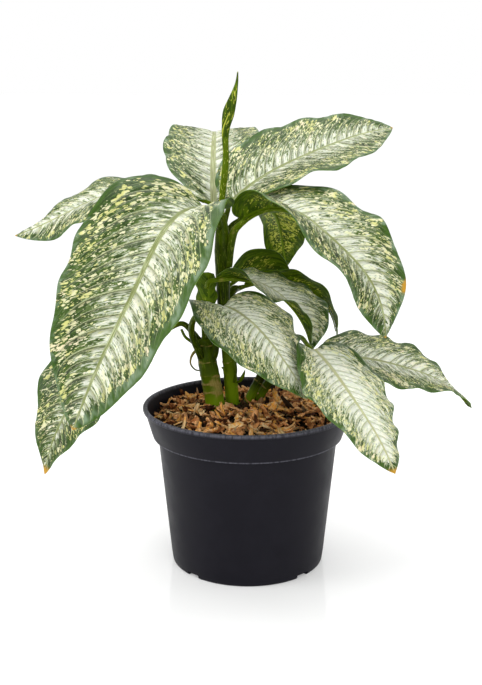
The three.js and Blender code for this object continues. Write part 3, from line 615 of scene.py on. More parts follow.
# One mesh row of the blade: everything that depends only on s, the share along the midrib.
def bladeRow(leaf, rib, s, build):
    x = min(s * build["slices"], build["slices"] - 1e-6)
    i = int(x)
    shape, lobed = leaf.get("shape", build["outline"]), s / build["lobeReach"]
    row = {"centre": rib[i].lerp(rib[i + 1], x - i), "axes": bladeAxes(leaf, s), "sides": []}
    for side in (0, 1):
        least = build["leastHalf"][0 if s < 0.5 else 1]
        width = max(along(leaf["halfWidth"][side], s) * bladeOutline(s, shape), least)
        depth, waves, phase = leaf["ruffle"][side]
        row["sides"].append({
            "width": width, "fold": math.radians(along(leaf["fold"][side], s)),
            "swell": depth * math.sin(math.pi * min(s, 1)) ** 0.6,
            "wave": 2 * math.pi * (waves * s + phase),
            "lobe": leaf["lobe"][side] * lobed * math.exp(1 - lobed),
        })
    return row


def bladePoint(leaf, row, v):  # v runs from -1 at the right margin to 1 at the left one
    right = int(v < 0)
    side = row["sides"][right]
    ahead, left, face = row["axes"]
    out = -left if v < 0 else left
    across = abs(v)
    fold, curl = side["fold"], math.radians(leaf["curl"][right])
    turn = fold + curl * across
    reach = (math.sin(turn) - math.sin(fold)) / curl
    lift = (math.cos(fold) - math.cos(turn)) / curl
    swell = side["swell"] * across ** 3
    rise = swell * math.sin(side["wave"])
    spread = 0.6 * swell * math.cos(side["wave"])
    return (
        row["centre"]
        + out * (side["width"] * reach + spread * math.cos(turn) - rise * math.sin(turn))
        + face * (side["width"] * lift + spread * math.sin(turn) + rise * math.cos(turn))
        - ahead * (side["lobe"] * across ** 2)
    )


# Height of the finished surface over the plain one: panels swell between the side veins, which sweep
# forward to the margin, and the midrib stands up as a low round ridge.
def bladeRelief(start, side, across, s, rib, spacing, build, seed):
    panel = abs(math.sin(math.pi * start / spacing)) ** 0.75 - 0.5
    fade = (1 - smoothStep(0.55, 0.98, across)) * smoothStep(0, 0.05, s) * smoothStep(1, 0.9, s)
    fade *= smoothStep(0.7, 2.4, abs(side) / rib)
    ridge = 0.5 * math.exp(-((side / rib) ** 4)) - 0.25
    frill = build["marginFrill"] * across ** 4 * noise.noise(Vector((start * 0.11, side * 0.05, seed)))
    return spacing * build["panelDepth"] * panel * fade + ridge + frill


def growBlade(name, leaf, seed, build):
    rib = midribPoints(leaf, build["slices"])
    widest = max(max(side) for side in leaf["halfWidth"])
    rows = round(leaf["length"] / build["step"])
    columns = 2 * round(widest / build["step"])
    spacing = leaf["length"] * build["veinShare"]
    small = leaf["length"] / build["fullLength"]
    finer = min(small ** -0.5, 1.5)  # smaller leaves have smaller flecks
    straight, curving = build["veinSweep"]
    drift = seed * build["seedStep"]
    bm = bmesh.new()
    bmesh.ops.create_grid(bm, x_segments=rows, y_segments=columns, size=1)
    flowLayer, fleckLayer, placeLayer, toneLayer = vectorLayers(bm, *bladeMaps)
    ageLayer = bm.verts.layers.float.new("leafAge")
    spotShare, spotAcross, spotSize = leaf.get("ageSpot", (0, 0, 0.01))
    rowCache, relief = {}, {}
    for vert in bm.verts:
        s = ((vert.co.x + 1) / 2) ** build["crowding"][0]
        v = math.copysign(abs(vert.co.y) ** build["crowding"][1], vert.co.y)
        key = round(s, 6)
        if key not in rowCache:
            rowCache[key] = bladeRow(leaf, rib, s, build)
        row, right = rowCache[key], int(v < 0)
        width = row["sides"][right]["width"]
        across = abs(v)
        side = v * width
        start = s * leaf["length"] - width * (straight * across + curving * across ** 3)
        start += 0.5 * spacing * noise.noise(Vector((start / spacing * 0.6, math.copysign(3, v), seed * 7.7)))
        ribWidth = build["ribHalf"] * (1 - s) ** 0.6 * small + 0.35
        relief[vert] = bladeRelief(start, side, across, s, ribWidth, spacing, build, seed)
        vert[flowLayer] = Vector((start, side * (1.15 + 0.6 * across * across), drift))
        vert[fleckLayer] = Vector((s * leaf["length"] - 0.8 * abs(side), 1.25 * side, drift)) * finer
        room = width * (1 - across) + 3 * smoothStep(0.1, 0, s) - leaf.get("plainEdge", (0, 0))[right]
        vert[placeLayer] = Vector((start / spacing, across, min(room, leaf["length"] * (1 - s) * 0.5)))
        pale, creamy, leftPalerAndShade = (*leaf["tone"], 0)[:3]
        # A paler left half; on some blades this paints shade on the right half.
        pale += leftPalerAndShade * smoothStep(-0.15, 0.15, v)
        vert[toneLayer] = Vector((pale, creamy, math.exp(-((side / ribWidth) ** 4) * 0.7)))
        spotAway = math.hypot((s - spotShare) * leaf["length"], (v - spotAcross) * width) / spotSize
        vert[ageLayer] = max(smoothStep(1 - leaf.get("brownTip", 0.015), 1, s), smoothStep(1, 0.2, spotAway))
        vert.co = bladePoint(leaf, row, v) * mm
    bm.normal_update()
    for vert in bm.verts:
        vert.co += vert.normal * relief[vert] * mm
    blade = placePiece(name, bm, leafFinishes)
    thicken(blade, build["thickness"], under=1, rim=2)
    return blade, rib


def pathStations(points, count):  # evenly spaced points, with their headings, on a smooth curve
    fine = []
    for i in range(len(points) - 1):
        for j in range(16):
            fine.append(curvePoint(points, i, j / 16))
    fine.append(Vector(points[-1]))
    travelled = [0]
    for a, b in zip(fine, fine[1:]):
        travelled.append(travelled[-1] + (b - a).length)
    stations, k = [], 0
    for n in range(count + 1):
        goal = travelled[-1] * n / count
        while k < len(fine) - 2 and travelled[k + 1] < goal:
            k += 1
        gap = travelled[k + 1] - travelled[k]
        heading = (fine[min(k + 2, len(fine) - 1)] - fine[max(k - 1, 0)]).normalized()
        stations.append((fine[k].lerp(fine[k + 1], (goal - travelled[k]) / gap), heading))
    return stations, travelled[-1]


def curvePoint(points, i, u):  # centripetal curve through the points, as in the plant's frame
    p = [Vector(q) for q in points]
    before = p[i - 1] if i > 0 else 2 * p[0] - p[1]
    after = p[i + 2] if i + 2 < len(p) else 2 * p[-1] - p[-2]
    layer = [before, p[i], p[i + 1], after]
    knots = [0]
    for a, b in zip(layer, layer[1:]):
        knots.append(knots[-1] + max((b - a).length ** 0.5, 1e-4))
    t = knots[1] + u * (knots[2] - knots[1])
    for span in (1, 2):
        layer = [
            layer[k].lerp(layer[k + 1], (t - knots[k]) / (knots[k + span] - knots[k]))
            for k in range(len(layer) - 1)
        ]
    return layer[0].lerp(layer[1], (t - knots[1]) / (knots[2] - knots[1]))


stemBuild = {
    "rowStep": 1.5,       # mm between rings of the mesh
    "channelHalf": 0.55,  # radians, the channel's half width
    "scarTurn": 0.9,      # radians, the way that slanted scars lean
    "scarDry": 0.6,       # how dry a scar is
    "seedStep": 23.1,     # mm between two stems' fibres on their flow map, so that no two look alike
}


# Adds one stem to bm: a tube along its points. rings are raised scars: share along the stem, height, spread
# and slant, all in mm but the first. dry, fresh and flecked are keys along the stem for its stemTone. reach
# is about how long it is in mm, and upper the side of a leaf stalk's channel.
def growStem(bm, stem, build, seed):
    path, length = pathStations(stem["points"], round(stem["reach"] / build["rowStep"]))
    rows = len(path) - 1
    flowLayer, toneLayer = vectorLayers(bm, "stemFlow", "stemTone")
    upper = Vector(stem.get("upper", (0, 1, 0)))
    frames = []
    for centre, heading in path:
        upper = (upper - heading * upper.dot(heading)).normalized()
        frames.append((centre, heading, upper.copy(), heading.cross(upper)))
    made = bmesh.ops.create_grid(bm, x_segments=rows, y_segments=stem["sides"], size=1)["verts"]
    for vert in made:
        t = (vert.co.x + 1) / 2
        centre, heading, up, across = frames[round(t * rows)]
        turn = math.pi * vert.co.y
        radius = along(stem["radii"], t)
        radius -= stem.get("channel", 0) * radius * math.exp(-((turn / build["channelHalf"]) ** 2))
        distance = t * length
        slanted, scar = distance, 0
        for share, height, spread, slant in stem.get("rings", []):
            slanted = distance + slant * math.cos(turn + build["scarTurn"])
            nearScar = math.exp(-(((slanted - share * length) / spread) ** 2))
            radius += height * nearScar
            scar = max(scar, build["scarDry"] * nearScar)
        spot = Vector((radius * math.cos(turn), radius * math.sin(turn), distance))
        radius *= 1 + stem.get("rough", 0.02) * noise.noise(spot * 0.2 + Vector((seed, 0, 0)))
        vert[flowLayer] = spot + Vector((seed * build["seedStep"], 0, 0))
        vert[toneLayer] = Vector((
            along(stem.get("dry", [0, 0]), slanted / length if stem.get("rings") else t) + scar,
            along(stem.get("fresh", [0.2, 0.2]), t), along(stem.get("flecked", [0, 0]), t),
        ))
        vert.co = (centre + up * (radius * math.cos(turn)) + across * (radius * math.sin(turn))) * mm
    bmesh.ops.remove_doubles(bm, verts=made, dist=0.001 * mm)
    kept = [vert for vert in made if vert.is_valid]
    rim = {edge for vert in kept for edge in vert.link_edges if edge.is_boundary}
    bmesh.ops.holes_fill(bm, edges=list(rim), sides=0)


def stemPiece(name, stems):
    bm = bmesh.new()
    for n, stem in enumerate(stems):
        growStem(bm, stem, stemBuild, len(name) + 1.7 * n)
    bmesh.ops.recalc_face_normals(bm, faces=bm.faces)
    return placePiece(name, bm, [stemSkin])


def keelStem(leaf, rib, build):  # the rounded rib under the blade, which runs on from the petiole
    points, radii = [], []
    for share in (0, 0.06, 0.14, 0.26, 0.4, 0.55, 0.7, 0.85, 0.95):
        face = bladeAxes(leaf, share)[2]
        radius = build["keelRadius"] * (1 - share) ** 0.7 + 0.25
        points.append(rib[round(share * build["slices"])] - face * (0.55 + 0.55 * radius))
        radii.append(radius)
    return {"points": points, "radii": radii, "reach": leaf["length"], "sides": 10, "fresh": [0.3, 0.5],
            "flecked": [0.4, 0.2], "upper": bladeAxes(leaf, 0)[2]}


for number, (leafName, leaf) in enumerate(leafShapes.items()):
    blade, rib = growBlade(f"blade_{leafName}", leaf, number + 1.0, bladeBuild)
    keel = stemPiece(f"keel_{leafName}", [keelStem(leaf, rib, bladeBuild)])
    joinPieces(blade, keel)
    claimNode(blade, f"leaf_{leafName}")
print("leaves grown:", len(leafShapes))


soilLevel = 153
caneFoot = 24   # mm of each cane below the bark

caneShapes = {
    "left": {
        "points": [(-33, 20, soilLevel - caneFoot), (-33, 23, soilLevel), (-37, 26, 178), (-41, 27, 200),
                   (-44, 28, 224)],
        "radii": [9.6, 9.8, 9.8, 9.6, 8], "reach": 96, "sides": 40, "rough": 0.06,
        "rings": [(0.4, 0.7, 0.8, 2.2), (0.49, 0.6, 0.7, 2.6), (0.59, 0.8, 0.8, 2.4), (0.74, 0.4, 0.7, 1.8),
                  (0.92, 0.7, 1.0, 1.6)],
        "dry": [0, 0, 0, 0, 0, 0.28, 0.32, 0.02, 0, 0, 0, 0, 0],
        "fresh": [1, 1, 1, 0.9, 0.6, 0.45, 0.35, 0.2, 0.15, 0.1, 0.15], "flecked": [0, 0],
    },
    "middle": {
        "points": [(-15, 34, soilLevel - caneFoot), (-15.5, 33, soilLevel), (-19, 30, 200), (-24, 29, 255),
                   (-25, 29, 300), (-25, 29, 326), (-26, 30, 349)],
        "radii": [7.2, 7, 6.8, 6.6, 6.4, 7.2, 8.2, 4.6], "reach": 220, "sides": 36, "rough": 0.03,
        "rings": [(0.2, 0.5, 0.7, 0.6), (0.26, 0.45, 0.8, 0.8), (0.33, 0.5, 0.9, -3.0)],
        "dry": [0, 0, 0, 0.05, 0, 0, 0, 0, 0], "fresh": [1, 0.95, 0.55, 0.15, 0.04, 0.03, 0.06, 0.15],
        "flecked": [0, 0, 0, 0.1, 0.15, 0.1],
    },
    "right": {
        "points": [(-1, 40, soilLevel - caneFoot), (1, 36, soilLevel), (14, 37, 182), (28, 38, 212)],
        "radii": [5.2, 5, 4.6, 4], "reach": 90, "sides": 26, "rough": 0.05,
        "rings": [(0.55, 0.5, 0.8, 1.0)], "dry": [0, 0, 0, 0, 0],
        "fresh": [1, 0.95, 0.5, -0.25, -0.35, 0.1], "flecked": [0, 0],
    },
    "far_right": {
        "points": [(9, 48, soilLevel - caneFoot), (11, 45, soilLevel), (24, 44, 176), (42, 42, 200)],
        "radii": [5, 4.8, 4.4, 3.8], "reach": 80, "sides": 26, "rough": 0.05,
        "rings": [(0.5, 0.5, 0.8, 1.0)], "dry": [0, 0, 0], "fresh": [1, 0.9, 0.2, -0.1, 0],
        "flecked": [0, 0],
    },
}

# Dried sheath hooks, a young shoot and buds, by the cane that they grow from.
growthShapes = {
    "left": [
        {"points": [(-50, 26, 216), (-57, 25, 221), (-63, 24, 226), (-67, 24, 234)],
         "radii": [2.8, 1.7, 1.5, 1.3], "reach": 30, "sides": 12, "dry": [0, 0.1], "fresh": [0.3, 0.3]},
        {"points": [(-48, 24, 216), (-56, 22, 208), (-58, 22, 199), (-53, 23, 192), (-46, 24, 191)],
         "radii": [1.8, 1.5, 1, 0.8, 0.6], "reach": 40, "sides": 10, "dry": [0.6, 0.4, 0.1],
         "fresh": [0.2, 0.2]},
        {"points": [(-37, 24, 198), (-33, 22, 212), (-32, 21, 224), (-36, 21, 233)],
         "radii": [3.4, 4, 3, 1.2], "reach": 36, "sides": 16, "fresh": [0.05, 0.1]},
    ],
    "middle": [
        {"points": [(-14, 31, 176), (-8, 27, 179), (-5, 26, 184), (-2.5, 26, 191)],
         "radii": [1.2, 0.9, 2, 1.6, 0.4], "reach": 24, "sides": 10, "fresh": [0.4, 0.3]},
        {"points": [(-21, 28, 184), (-23.5, 24, 190), (-25, 22, 195), (-26, 21, 194)],
         "radii": [2, 1.4, 0.9], "reach": 20, "sides": 10, "fresh": [0.6, 0.5]},
        {"points": [(-14, 25, 178), (-11.5, 25, 190), (-12, 25, 200)],
         "radii": [1.4, 1.1, 0.8], "reach": 24, "sides": 10, "fresh": [0.2, 0.1]},
        {"points": [(-20, 27, 146), (-19.4, 24.5, 150), (-19.4, 24.3, 156)],
         "radii": [3.5, 4.6, 4.2, 0.6], "reach": 16, "sides": 18, "fresh": [0.6, 0.7]},
        {"points": [(-9, 28, 146), (-8.5, 26, 150), (-7.5, 25, 156.5)],
         "radii": [3.6, 4.4, 3.8, 0.6], "reach": 16, "sides": 18, "fresh": [0.9, 1], "flecked": [0.6, 0.8]},
    ],
}

# The points that each petiole takes from its cane up to the blade, and its radii from the foot to the top.
petioleRoutes = {
    "front_left": ([(-27, 26, 336), (-31, 18, 349)], [3.2, 1.8]),
    "far_left": ([(-29, 30, 333), (-33, 30, 350)], [3, 2]),
    "low_left": ([(-45, 28, 214), (-54, 27, 228), (-66, 24, 240)], [4, 2]),
    "back": ([(-26, 33, 328), (-28, 45, 341), (-32, 62, 346)], [3, 2]),
    "upper_right": ([(-24, 31, 338), (-20, 38, 352)], [3, 2]),
    "right_arch": ([(-20, 26, 298), (-17.5, 25, 318), (-13, 23, 334)], [4.8, 4.4, 2.6]),
    "behind": ([(-23, 33, 318), (-17, 42, 336)], [3, 2]),
    "inner_back": ([(-23, 33, 246), (-25, 52, 264)], [3, 2]),
    "mid_right": ([(-42, 27, 216), (-43, 24, 246), (-41, 19, 274)], [5, 2.2]),
    "mid_back": ([(-22, 31, 263), (-15, 42, 271)], [4.8, 4.4, 1.9]),
    "low_front": ([(-47, 21, 206), (-56, 8, 236), (-48, -14, 258)], [4, 2]),
    "low_right": ([(41, 40, 196), (54, 26, 202)], [3.4, 2]),
    "front_right": ([(28, 36, 208), (38, 8, 226), (50, -36, 240)], [3.4, 2]),
}

sheathShape = {  # the open, frilled sheath that the middle right petiole grows into
    "base": (-39, 15, 241), "length": 54, "shape": (0.3, 0.2), "tone": (0.3, 0.5),
    "bearing": [-90, -88, -85, -80], "rise": [84, 88, 84, 78], "roll": [0, 0, 0, 0],
    "halfWidth": [[7, 9, 8], [10, 15, 16]], "fold": [[12, 12, 12, 6], [15, 15, 15, 10]],
    "curl": [30, 50], "lobe": [0, 0], "ruffle": [[1.5, 3.4, 0.1], [1.6, 3.1, 0.4]],
}


def petioleStem(leafName, route, radii):
    leaf = leafShapes[leafName]
    ahead, face = bladeAxes(leaf, 0)[::2]
    base = Vector(leaf["base"]) - face * 1.5
    points = [*route, base - ahead * 7, base + ahead * 2]
    return {"points": points, "radii": radii, "reach": 70, "sides": 18, "channel": 0.14, "upper": face,
            "fresh": [0.03, 0.1, 0.35], "flecked": [0.1, 0.4, 0.7]}


for caneName, cane in caneShapes.items():
    piece = stemPiece(f"canePiece_{caneName}", [cane, *growthShapes.get(caneName, [])])
    claimNode(piece, f"cane_{caneName}")
for leafName, (route, radii) in petioleRoutes.items():
    petiole = stemPiece(f"petiolePiece_{leafName}", [petioleStem(leafName, route, radii)])
    if leafName == "mid_right":
        joinPieces(petiole, growBlade("openSheath", sheathShape, 21.0, bladeBuild)[0])
    claimNode(petiole, f"petiole_{leafName}")
print("canes and petioles grown")


spearShape = {  # the new leaf, still rolled, on its stalk
    "path": [(-26, 30, 349.6), (-25, 30, 370), (-22.5, 29, 392), (-21.5, 29, 408), (-22, 28, 430),
             (-19, 28, 448), (-14, 28, 464), (-10.8, 28, 477), (-9.8, 28, 487)],
    "stalkRadii": [2.8, 3.2, 3.4, 3.1, 1.8], "stalkEnd": 5,   # the stalk ends at this path point
    "rollFrom": 3, "rollRadii": [2.9, 3.3, 4.4, 6.2, 4.4, 1.8, 0.3], "rollTurns": 1.35,
    "firstTurn": 1.4, "spiral": 1.1,   # radians, the turn at the foot and how much more at the tip
    "tightening": 0.22,                # how much smaller the inmost turn is
    "margin": (12, 2),                 # mm of room to the margin: how much more the middle has, and the rim's
    "mapPlace": 71.0,                  # mm, its place on the flow maps, away from the blades
    "rows": 64, "columns": 44, "thickness": 0.5, "squash": 0.55, "tone": (0.25, 0.8),
}


def makeSpear(spear):
    stalk = {"points": spear["path"][:spear["stalkEnd"]], "radii": spear["stalkRadii"], "reach": 90,
             "sides": 18, "fresh": [0.3, 0.3], "flecked": [1, 1]}
    stalkPiece = stemPiece("spearStalk", [stalk])
    path, length = pathStations(spear["path"][spear["rollFrom"]:], spear["rows"])
    bm = bmesh.new()
    bmesh.ops.create_grid(bm, x_segments=spear["rows"], y_segments=spear["columns"], size=1)
    flowLayer, fleckLayer, placeLayer, toneLayer = vectorLayers(bm, *bladeMaps)
    most, least = spear["margin"]
    upper = Vector((0, -1, 0))
    for vert in bm.verts:
        t, v = (vert.co.x + 1) / 2, vert.co.y
        centre, heading = path[round(t * spear["rows"])]
        up = (upper - heading * upper.dot(heading)).normalized()
        across = heading.cross(up)
        turn = math.pi * spear["rollTurns"] * v + spear["firstTurn"] + spear["spiral"] * t
        radius = along(spear["rollRadii"], t) * (1 - spear["tightening"] * (v + 1) / 2)
        vert[flowLayer] = Vector((radius * turn * 1.6, t * length * 0.6, spear["mapPlace"]))
        vert[fleckLayer] = vert[flowLayer]
        vert[placeLayer] = Vector((t * 0.9, abs(v), most * (1 - abs(v)) + least))
        vert[toneLayer] = Vector((*spear["tone"], 0))
        offset = across * (radius * math.cos(turn)) + up * (radius * spear["squash"] * math.sin(turn))
        vert.co = (centre + offset) * mm
    roll = placePiece("spearRoll", bm, [leafFinishes[1], leafFinishes[1], leafFinishes[2]])
    thicken(roll, spear["thickness"], rim=2)
    joinPieces(roll, stalkPiece)
    claimNode(roll, "spear_leaf")


makeSpear(spearShape)
print("spear rolled")

potShape = {
    "lipRadius": 105, "height": 163, "collar": 30, "collarFoot": 95.5, "wallTop": 90.2, "foot": 77,
    "wall": 2.4, "floor": 3, "lipWidth": 4.5, "turnSteps": 192,
    "notch": (14, 15, 4), "notchBearings": (45, 135, 225, 315),   # deep, wide and high
}

potLook = {
    "colours": {"black": "#121118", "dusty": "#1b1a21", "scuffed": "#2c2b30", "wornAndHighlight": "#74747f"},
    "grain": 0.7, "dust": 30, "scuffs": 2.2,   # mm across one mark
}


# Moulded polypropylene: almost black, matt from a fine spark grain on the mould, with a soft sheen, dust in
# patches and faint upright scuffs from stacking. The ledge and the lip are worn grey with a painted
# highlight.
def potFinish(look):
    finish, tree, shades = newFinish("mouldedPolypropylene", look)
    place = addNode(tree, "TexCoord")["Object"]
    upright = addNode(tree, "Mapping", {"Vector": place, "Scale": (1, 1, 0.08)})[0]
    marks = {}
    for mark, where, detail, rough in (
        ("grain", place, 2.0, 0.5), ("dust", place, 5.0, 0.6), ("scuffs", upright, 3.0, 0.7),
    ):
        marks[mark] = addNode(tree, "TexNoise", {
            "Vector": where, "Scale": 1 / (look[mark] * mm), "Detail": detail, "Roughness": rough,
        })[0]
    dusty = addNode(tree, "MapRange", {0: marks["dust"], 1: 0.35, 2: 0.75, 4: 0.5}, **smooth)[0]
    scuffed = addNode(tree, "MapRange", {0: marks["scuffs"], 1: 0.66, 2: 0.8, 4: 0.25}, **smooth)[0]
    # Worn grey on the ledge and the lip, made lighter as a painted highlight.
    wearAndHighlight = addNode(tree, "Attribute", attribute_name="edgeWearAndHighlight")["Fac"]
    wornAndHighlight = addNode(tree, "MapRange", {0: marks["scuffs"], 1: 0.35, 2: 0.6, 3: 0.25, 4: 0.9}, **smooth)[0]
    wornAndHighlight = addNode(tree, "Math", {0: wearAndHighlight, 1: wornAndHighlight}, **multiply)[0]
    coloured = shades["black"]
    for share, shade in ((dusty, "dusty"), (scuffed, "scuffed"), (wornAndHighlight, "wornAndHighlight")):
        coloured = addNode(tree, "Mix", {0: share, 6: coloured, 7: shades[shade]}, **colours)[2]
    shine = addNode(tree, "MapRange", {0: marks["dust"], 1: 0.3, 2: 0.7, 3: 0.4, 4: 0.52}, **smooth)[0]
    relief = addNode(tree, "Bump", {"Strength": 0.25, "Distance": 0.06 * mm, "Height": marks["grain"]})[0]
    plastic = addNode(tree, "BsdfPrincipled", {
        "Base Color": coloured, "Roughness": shine, "IOR": 1.49, "Specular IOR Level": 0.09,
        "Normal": relief,
    })[0]
    addNode(tree, "OutputMaterial", {"Surface": plastic})
    return finish


def potProfile(pot):  # radius and height, from the middle of the foot up the outside and down the inside
    foot, wallTop, collarFoot = pot["foot"], pot["wallTop"], pot["collarFoot"]
    top, lip, inner = pot["height"], pot["lipRadius"], pot["lipRadius"] - pot["lipWidth"]
    step = top - pot["collar"]
    slope = (wallTop - foot) / step
    flare = (lip - 1 - collarFoot) / pot["collar"]
    inside = foot - pot["wall"]
    return [
        (0, 0), (foot - 3, 0), (foot - 1.4, 0.3), (foot - 0.4, 1.2), (foot, 2.8),
        *((foot + slope * step * k / 12, step * k / 12) for k in range(1, 12)),
        (wallTop - 0.1, step - 1.2), (wallTop + 0.4, step - 0.7), (collarFoot - 1.2, step - 0.6),
        (collarFoot - 0.3, step - 0.3), (collarFoot, step + 0.6), (collarFoot + 0.1, step + 1.3),
        *((collarFoot + flare * h, step + h) for h in (4, 10, 16, 22, 25.4)),
        (lip - 1.0, top - 4.2), (lip - 0.4, top - 3.8), (lip - 0.05, top - 2.8), (lip - 0.05, top - 1.6),
        (lip - 0.6, top - 0.6), (lip - 1.6, top - 0.1), (lip - 2.4, top), (inner + 1.0, top - 0.1),
        (inner + 0.3, top - 0.6), (inner, top - 1.6), (inner - 0.4, top - 3), (inner - 0.67, top - 4),
        (collarFoot - pot["wall"], step + 2), (inside + slope * (step - 2), step - 2),
        (inside + slope * pot["floor"], pot["floor"]), (0, pot["floor"]),
    ]


def spinProfile(bm, points, steps):
    verts = [bm.verts.new((r * mm, 0, z * mm)) for r, z in points]
    edges = [bm.edges.new(pair) for pair in zip(verts, verts[1:])]
    bmesh.ops.spin(bm, geom=verts + edges, cent=(0, 0, 0), axis=(0, 0, 1), angle=2 * math.pi, steps=steps,
                   use_merge=True)
    bmesh.ops.remove_doubles(bm, verts=bm.verts, dist=0.001 * mm)
    bmesh.ops.recalc_face_normals(bm, faces=bm.faces)


def cutNotches(body, pot):  # the drain notches at the foot
    cutter = bmesh.new()
    deep, wide, high = pot["notch"]
    for bearing in pot["notchBearings"]:
        block = bmesh.ops.create_cube(cutter, size=1)["verts"]
        bmesh.ops.scale(cutter, vec=(deep * mm, wide * mm, 2 * high * mm), verts=block)
        bmesh.ops.translate(cutter, vec=(pot["foot"] * mm, 0, 0), verts=block)
        bmesh.ops.rotate(cutter, cent=(0, 0, 0), matrix=Matrix.Rotation(math.radians(bearing), 3, "Z"),
                         verts=block)
    tool = placePiece("notchCutter", cutter, [])
    cut = body.modifiers.new("notches", "BOOLEAN")
    cut.object, cut.operation, cut.solver = tool, "DIFFERENCE", "EXACT"
    bakeModifiers(body)
    bpy.data.objects.remove(tool)


def makePot(pot, look):
    bm = bmesh.new()
    spinProfile(bm, potProfile(pot), pot["turnSteps"])
    # The ledge and the lip get wear and a painted highlight.
    wearAndHighlightLayer = bm.verts.layers.float.new("edgeWearAndHighlight")
    for vert in bm.verts:
        above = vert.co.z / mm - (pot["height"] - pot["collar"])
        outside = vert.co.xy.length / mm > pot["wallTop"] + 1
        ledge = max(0, 1 - abs(above - 0.1) / 0.8) if outside else 0
        vert[wearAndHighlightLayer] = max(ledge, 0.8 * smoothStep(pot["collar"] - 4, pot["collar"] - 0.5, above))
    body = placePiece("nurseryPot", bm, [potFinish(look)])
    claimNode(body, "pot")
    cutNotches(body, pot)
    body.data.set_sharp_from_angle(angle=math.radians(38))


makePot(potShape, potLook)
print("pot turned")

barkShape = {
    "seed": 4211, "edge": 149, "mound": 6, "reach": 96.5, "depth": 12, "taper": 0.3,
    "groundDrop": 4, "groundTone": (0.1, 0.97, 0),   # the ground under the chips: dark brown, made nearly black by painted shade
    "clearing": (-12, 20, 15),  # x, y and radius of the low spot before the canes, where the buds show
    # Ranges in mm. squat is the most that a width may be over its length.
    "kinds": [
        {"count": 1080, "length": (6, 19), "width": (2.6, 8), "squat": 0.7, "lift": (-3.2, 2.8),
         "segments": (6, 3)},
        {"count": 620, "length": (2, 5), "width": (1, 2.5), "squat": 2, "lift": (-3, 1.5),
         "segments": (2, 1)},
    ],
    "bend": 0.11, "twist": 0.08, "cup": 0.2, "tilt": (0.26, 0.36),   # how far chips stray from flat
    "tones": (0.15, 0.4, 0.65, 0.9), "thickness": 1.1,
}

barkLook = {
    # The gap colour is painted shade for the deep gaps among the chips.
    "colours": {"crack": "#2a160b", "gap": "#0e0703"},
    "palette": ["#46200c", "#b07040", "#eea86c", "#ffcf98", "#ffb046", "#ffdca6"],
    "marks": {
        "fibres": ("chipFlow", (6, 0.5, 1), 3.0, 0.65, 0.0),
        "blotches": ("chipFlow", (4, 4, 4), 3.0, 0.5, 0.0),
    },
}


# Shredded bark and coir: dry, fibrous and matt, from dark brown to tan, orange and straw. The chipTone
# attribute gives each chip's place in the palette and the painted shade of lying deep among the chips.
def barkFinish(look):
    finish, tree, shades = newFinish("shreddedBark", look)
    marks = drawMarks(tree, look["marks"])
    tone = addNode(tree, "Attribute", attribute_name="chipTone")["Vector"]
    chip, paintedDepthShade = addNode(tree, "SeparateXYZ", {0: tone})[:2]
    blotch = addNode(tree, "MapRange", {0: marks["blotches"], 1: 0.3, 2: 0.7, 3: -0.14, 4: 0.14}, **smooth)[0]
    blotch = addNode(tree, "Math", {0: chip, 1: blotch})[0]
    coloured = addNode(tree, "ValToRGB", {0: blotch})[0]
    stops = coloured.node.color_ramp.elements
    first, *middle, last = [hexColour(shade) for shade in look["palette"]]
    stops[0].color, stops[1].color = first, last
    for n, shade in enumerate(middle):
        stops.new((n + 1) / (len(middle) + 1)).color = shade
    cracked = addNode(tree, "MapRange", {0: marks["fibres"], 1: 0.3, 2: 0.55, 3: 0.6, 4: 0.0}, **smooth)[0]
    for share, shade in ((cracked, "crack"), (paintedDepthShade, "gap")):
        coloured = addNode(tree, "Mix", {0: share, 6: coloured, 7: shades[shade]}, **colours)[2]
    relief = addNode(tree, "Bump", {"Strength": 0.7, "Distance": 0.5 * mm, "Height": marks["fibres"]})[0]
    bark = addNode(tree, "BsdfPrincipled", {
        "Base Color": coloured, "Roughness": 0.78, "IOR": 1.4, "Specular IOR Level": 0.15,
        "Normal": relief,
    })[0]
    addNode(tree, "OutputMaterial", {"Surface": bark})
    return finish


def barkHeight(x, y, bark):
    share = math.hypot(x, y) / bark["reach"]
    lumps = 2.4 * noise.noise(Vector((x, y, 3)) * 0.07) + 1.2 * noise.noise(Vector((x, y, 9)) * 0.2)
    return bark["edge"] + bark["mound"] * (1 - share * share) + lumps


def makeGround(bark, finish):  # the dark mound that shows between the chips, darkened further by painted shade
    bm = bmesh.new()
    edge, reach, floor = bark["edge"], bark["reach"], bark["edge"] - bark["depth"]
    rim = [(reach * k / 40, edge) for k in range(41)]
    spinProfile(bm, [*rim, (reach - 5, floor), (0, floor)], 120)
    flowLayer, toneLayer = vectorLayers(bm, "chipFlow", "chipTone")
    for vert in bm.verts:
        x, y, z = vert.co / mm
        if z > edge - 1:
            vert.co.z = (barkHeight(x, y, bark) - bark["groundDrop"]) * mm
        vert[flowLayer] = (x, y, z)
        vert[toneLayer] = bark["groundTone"]
    return placePiece("barkGround", bm, [finish])


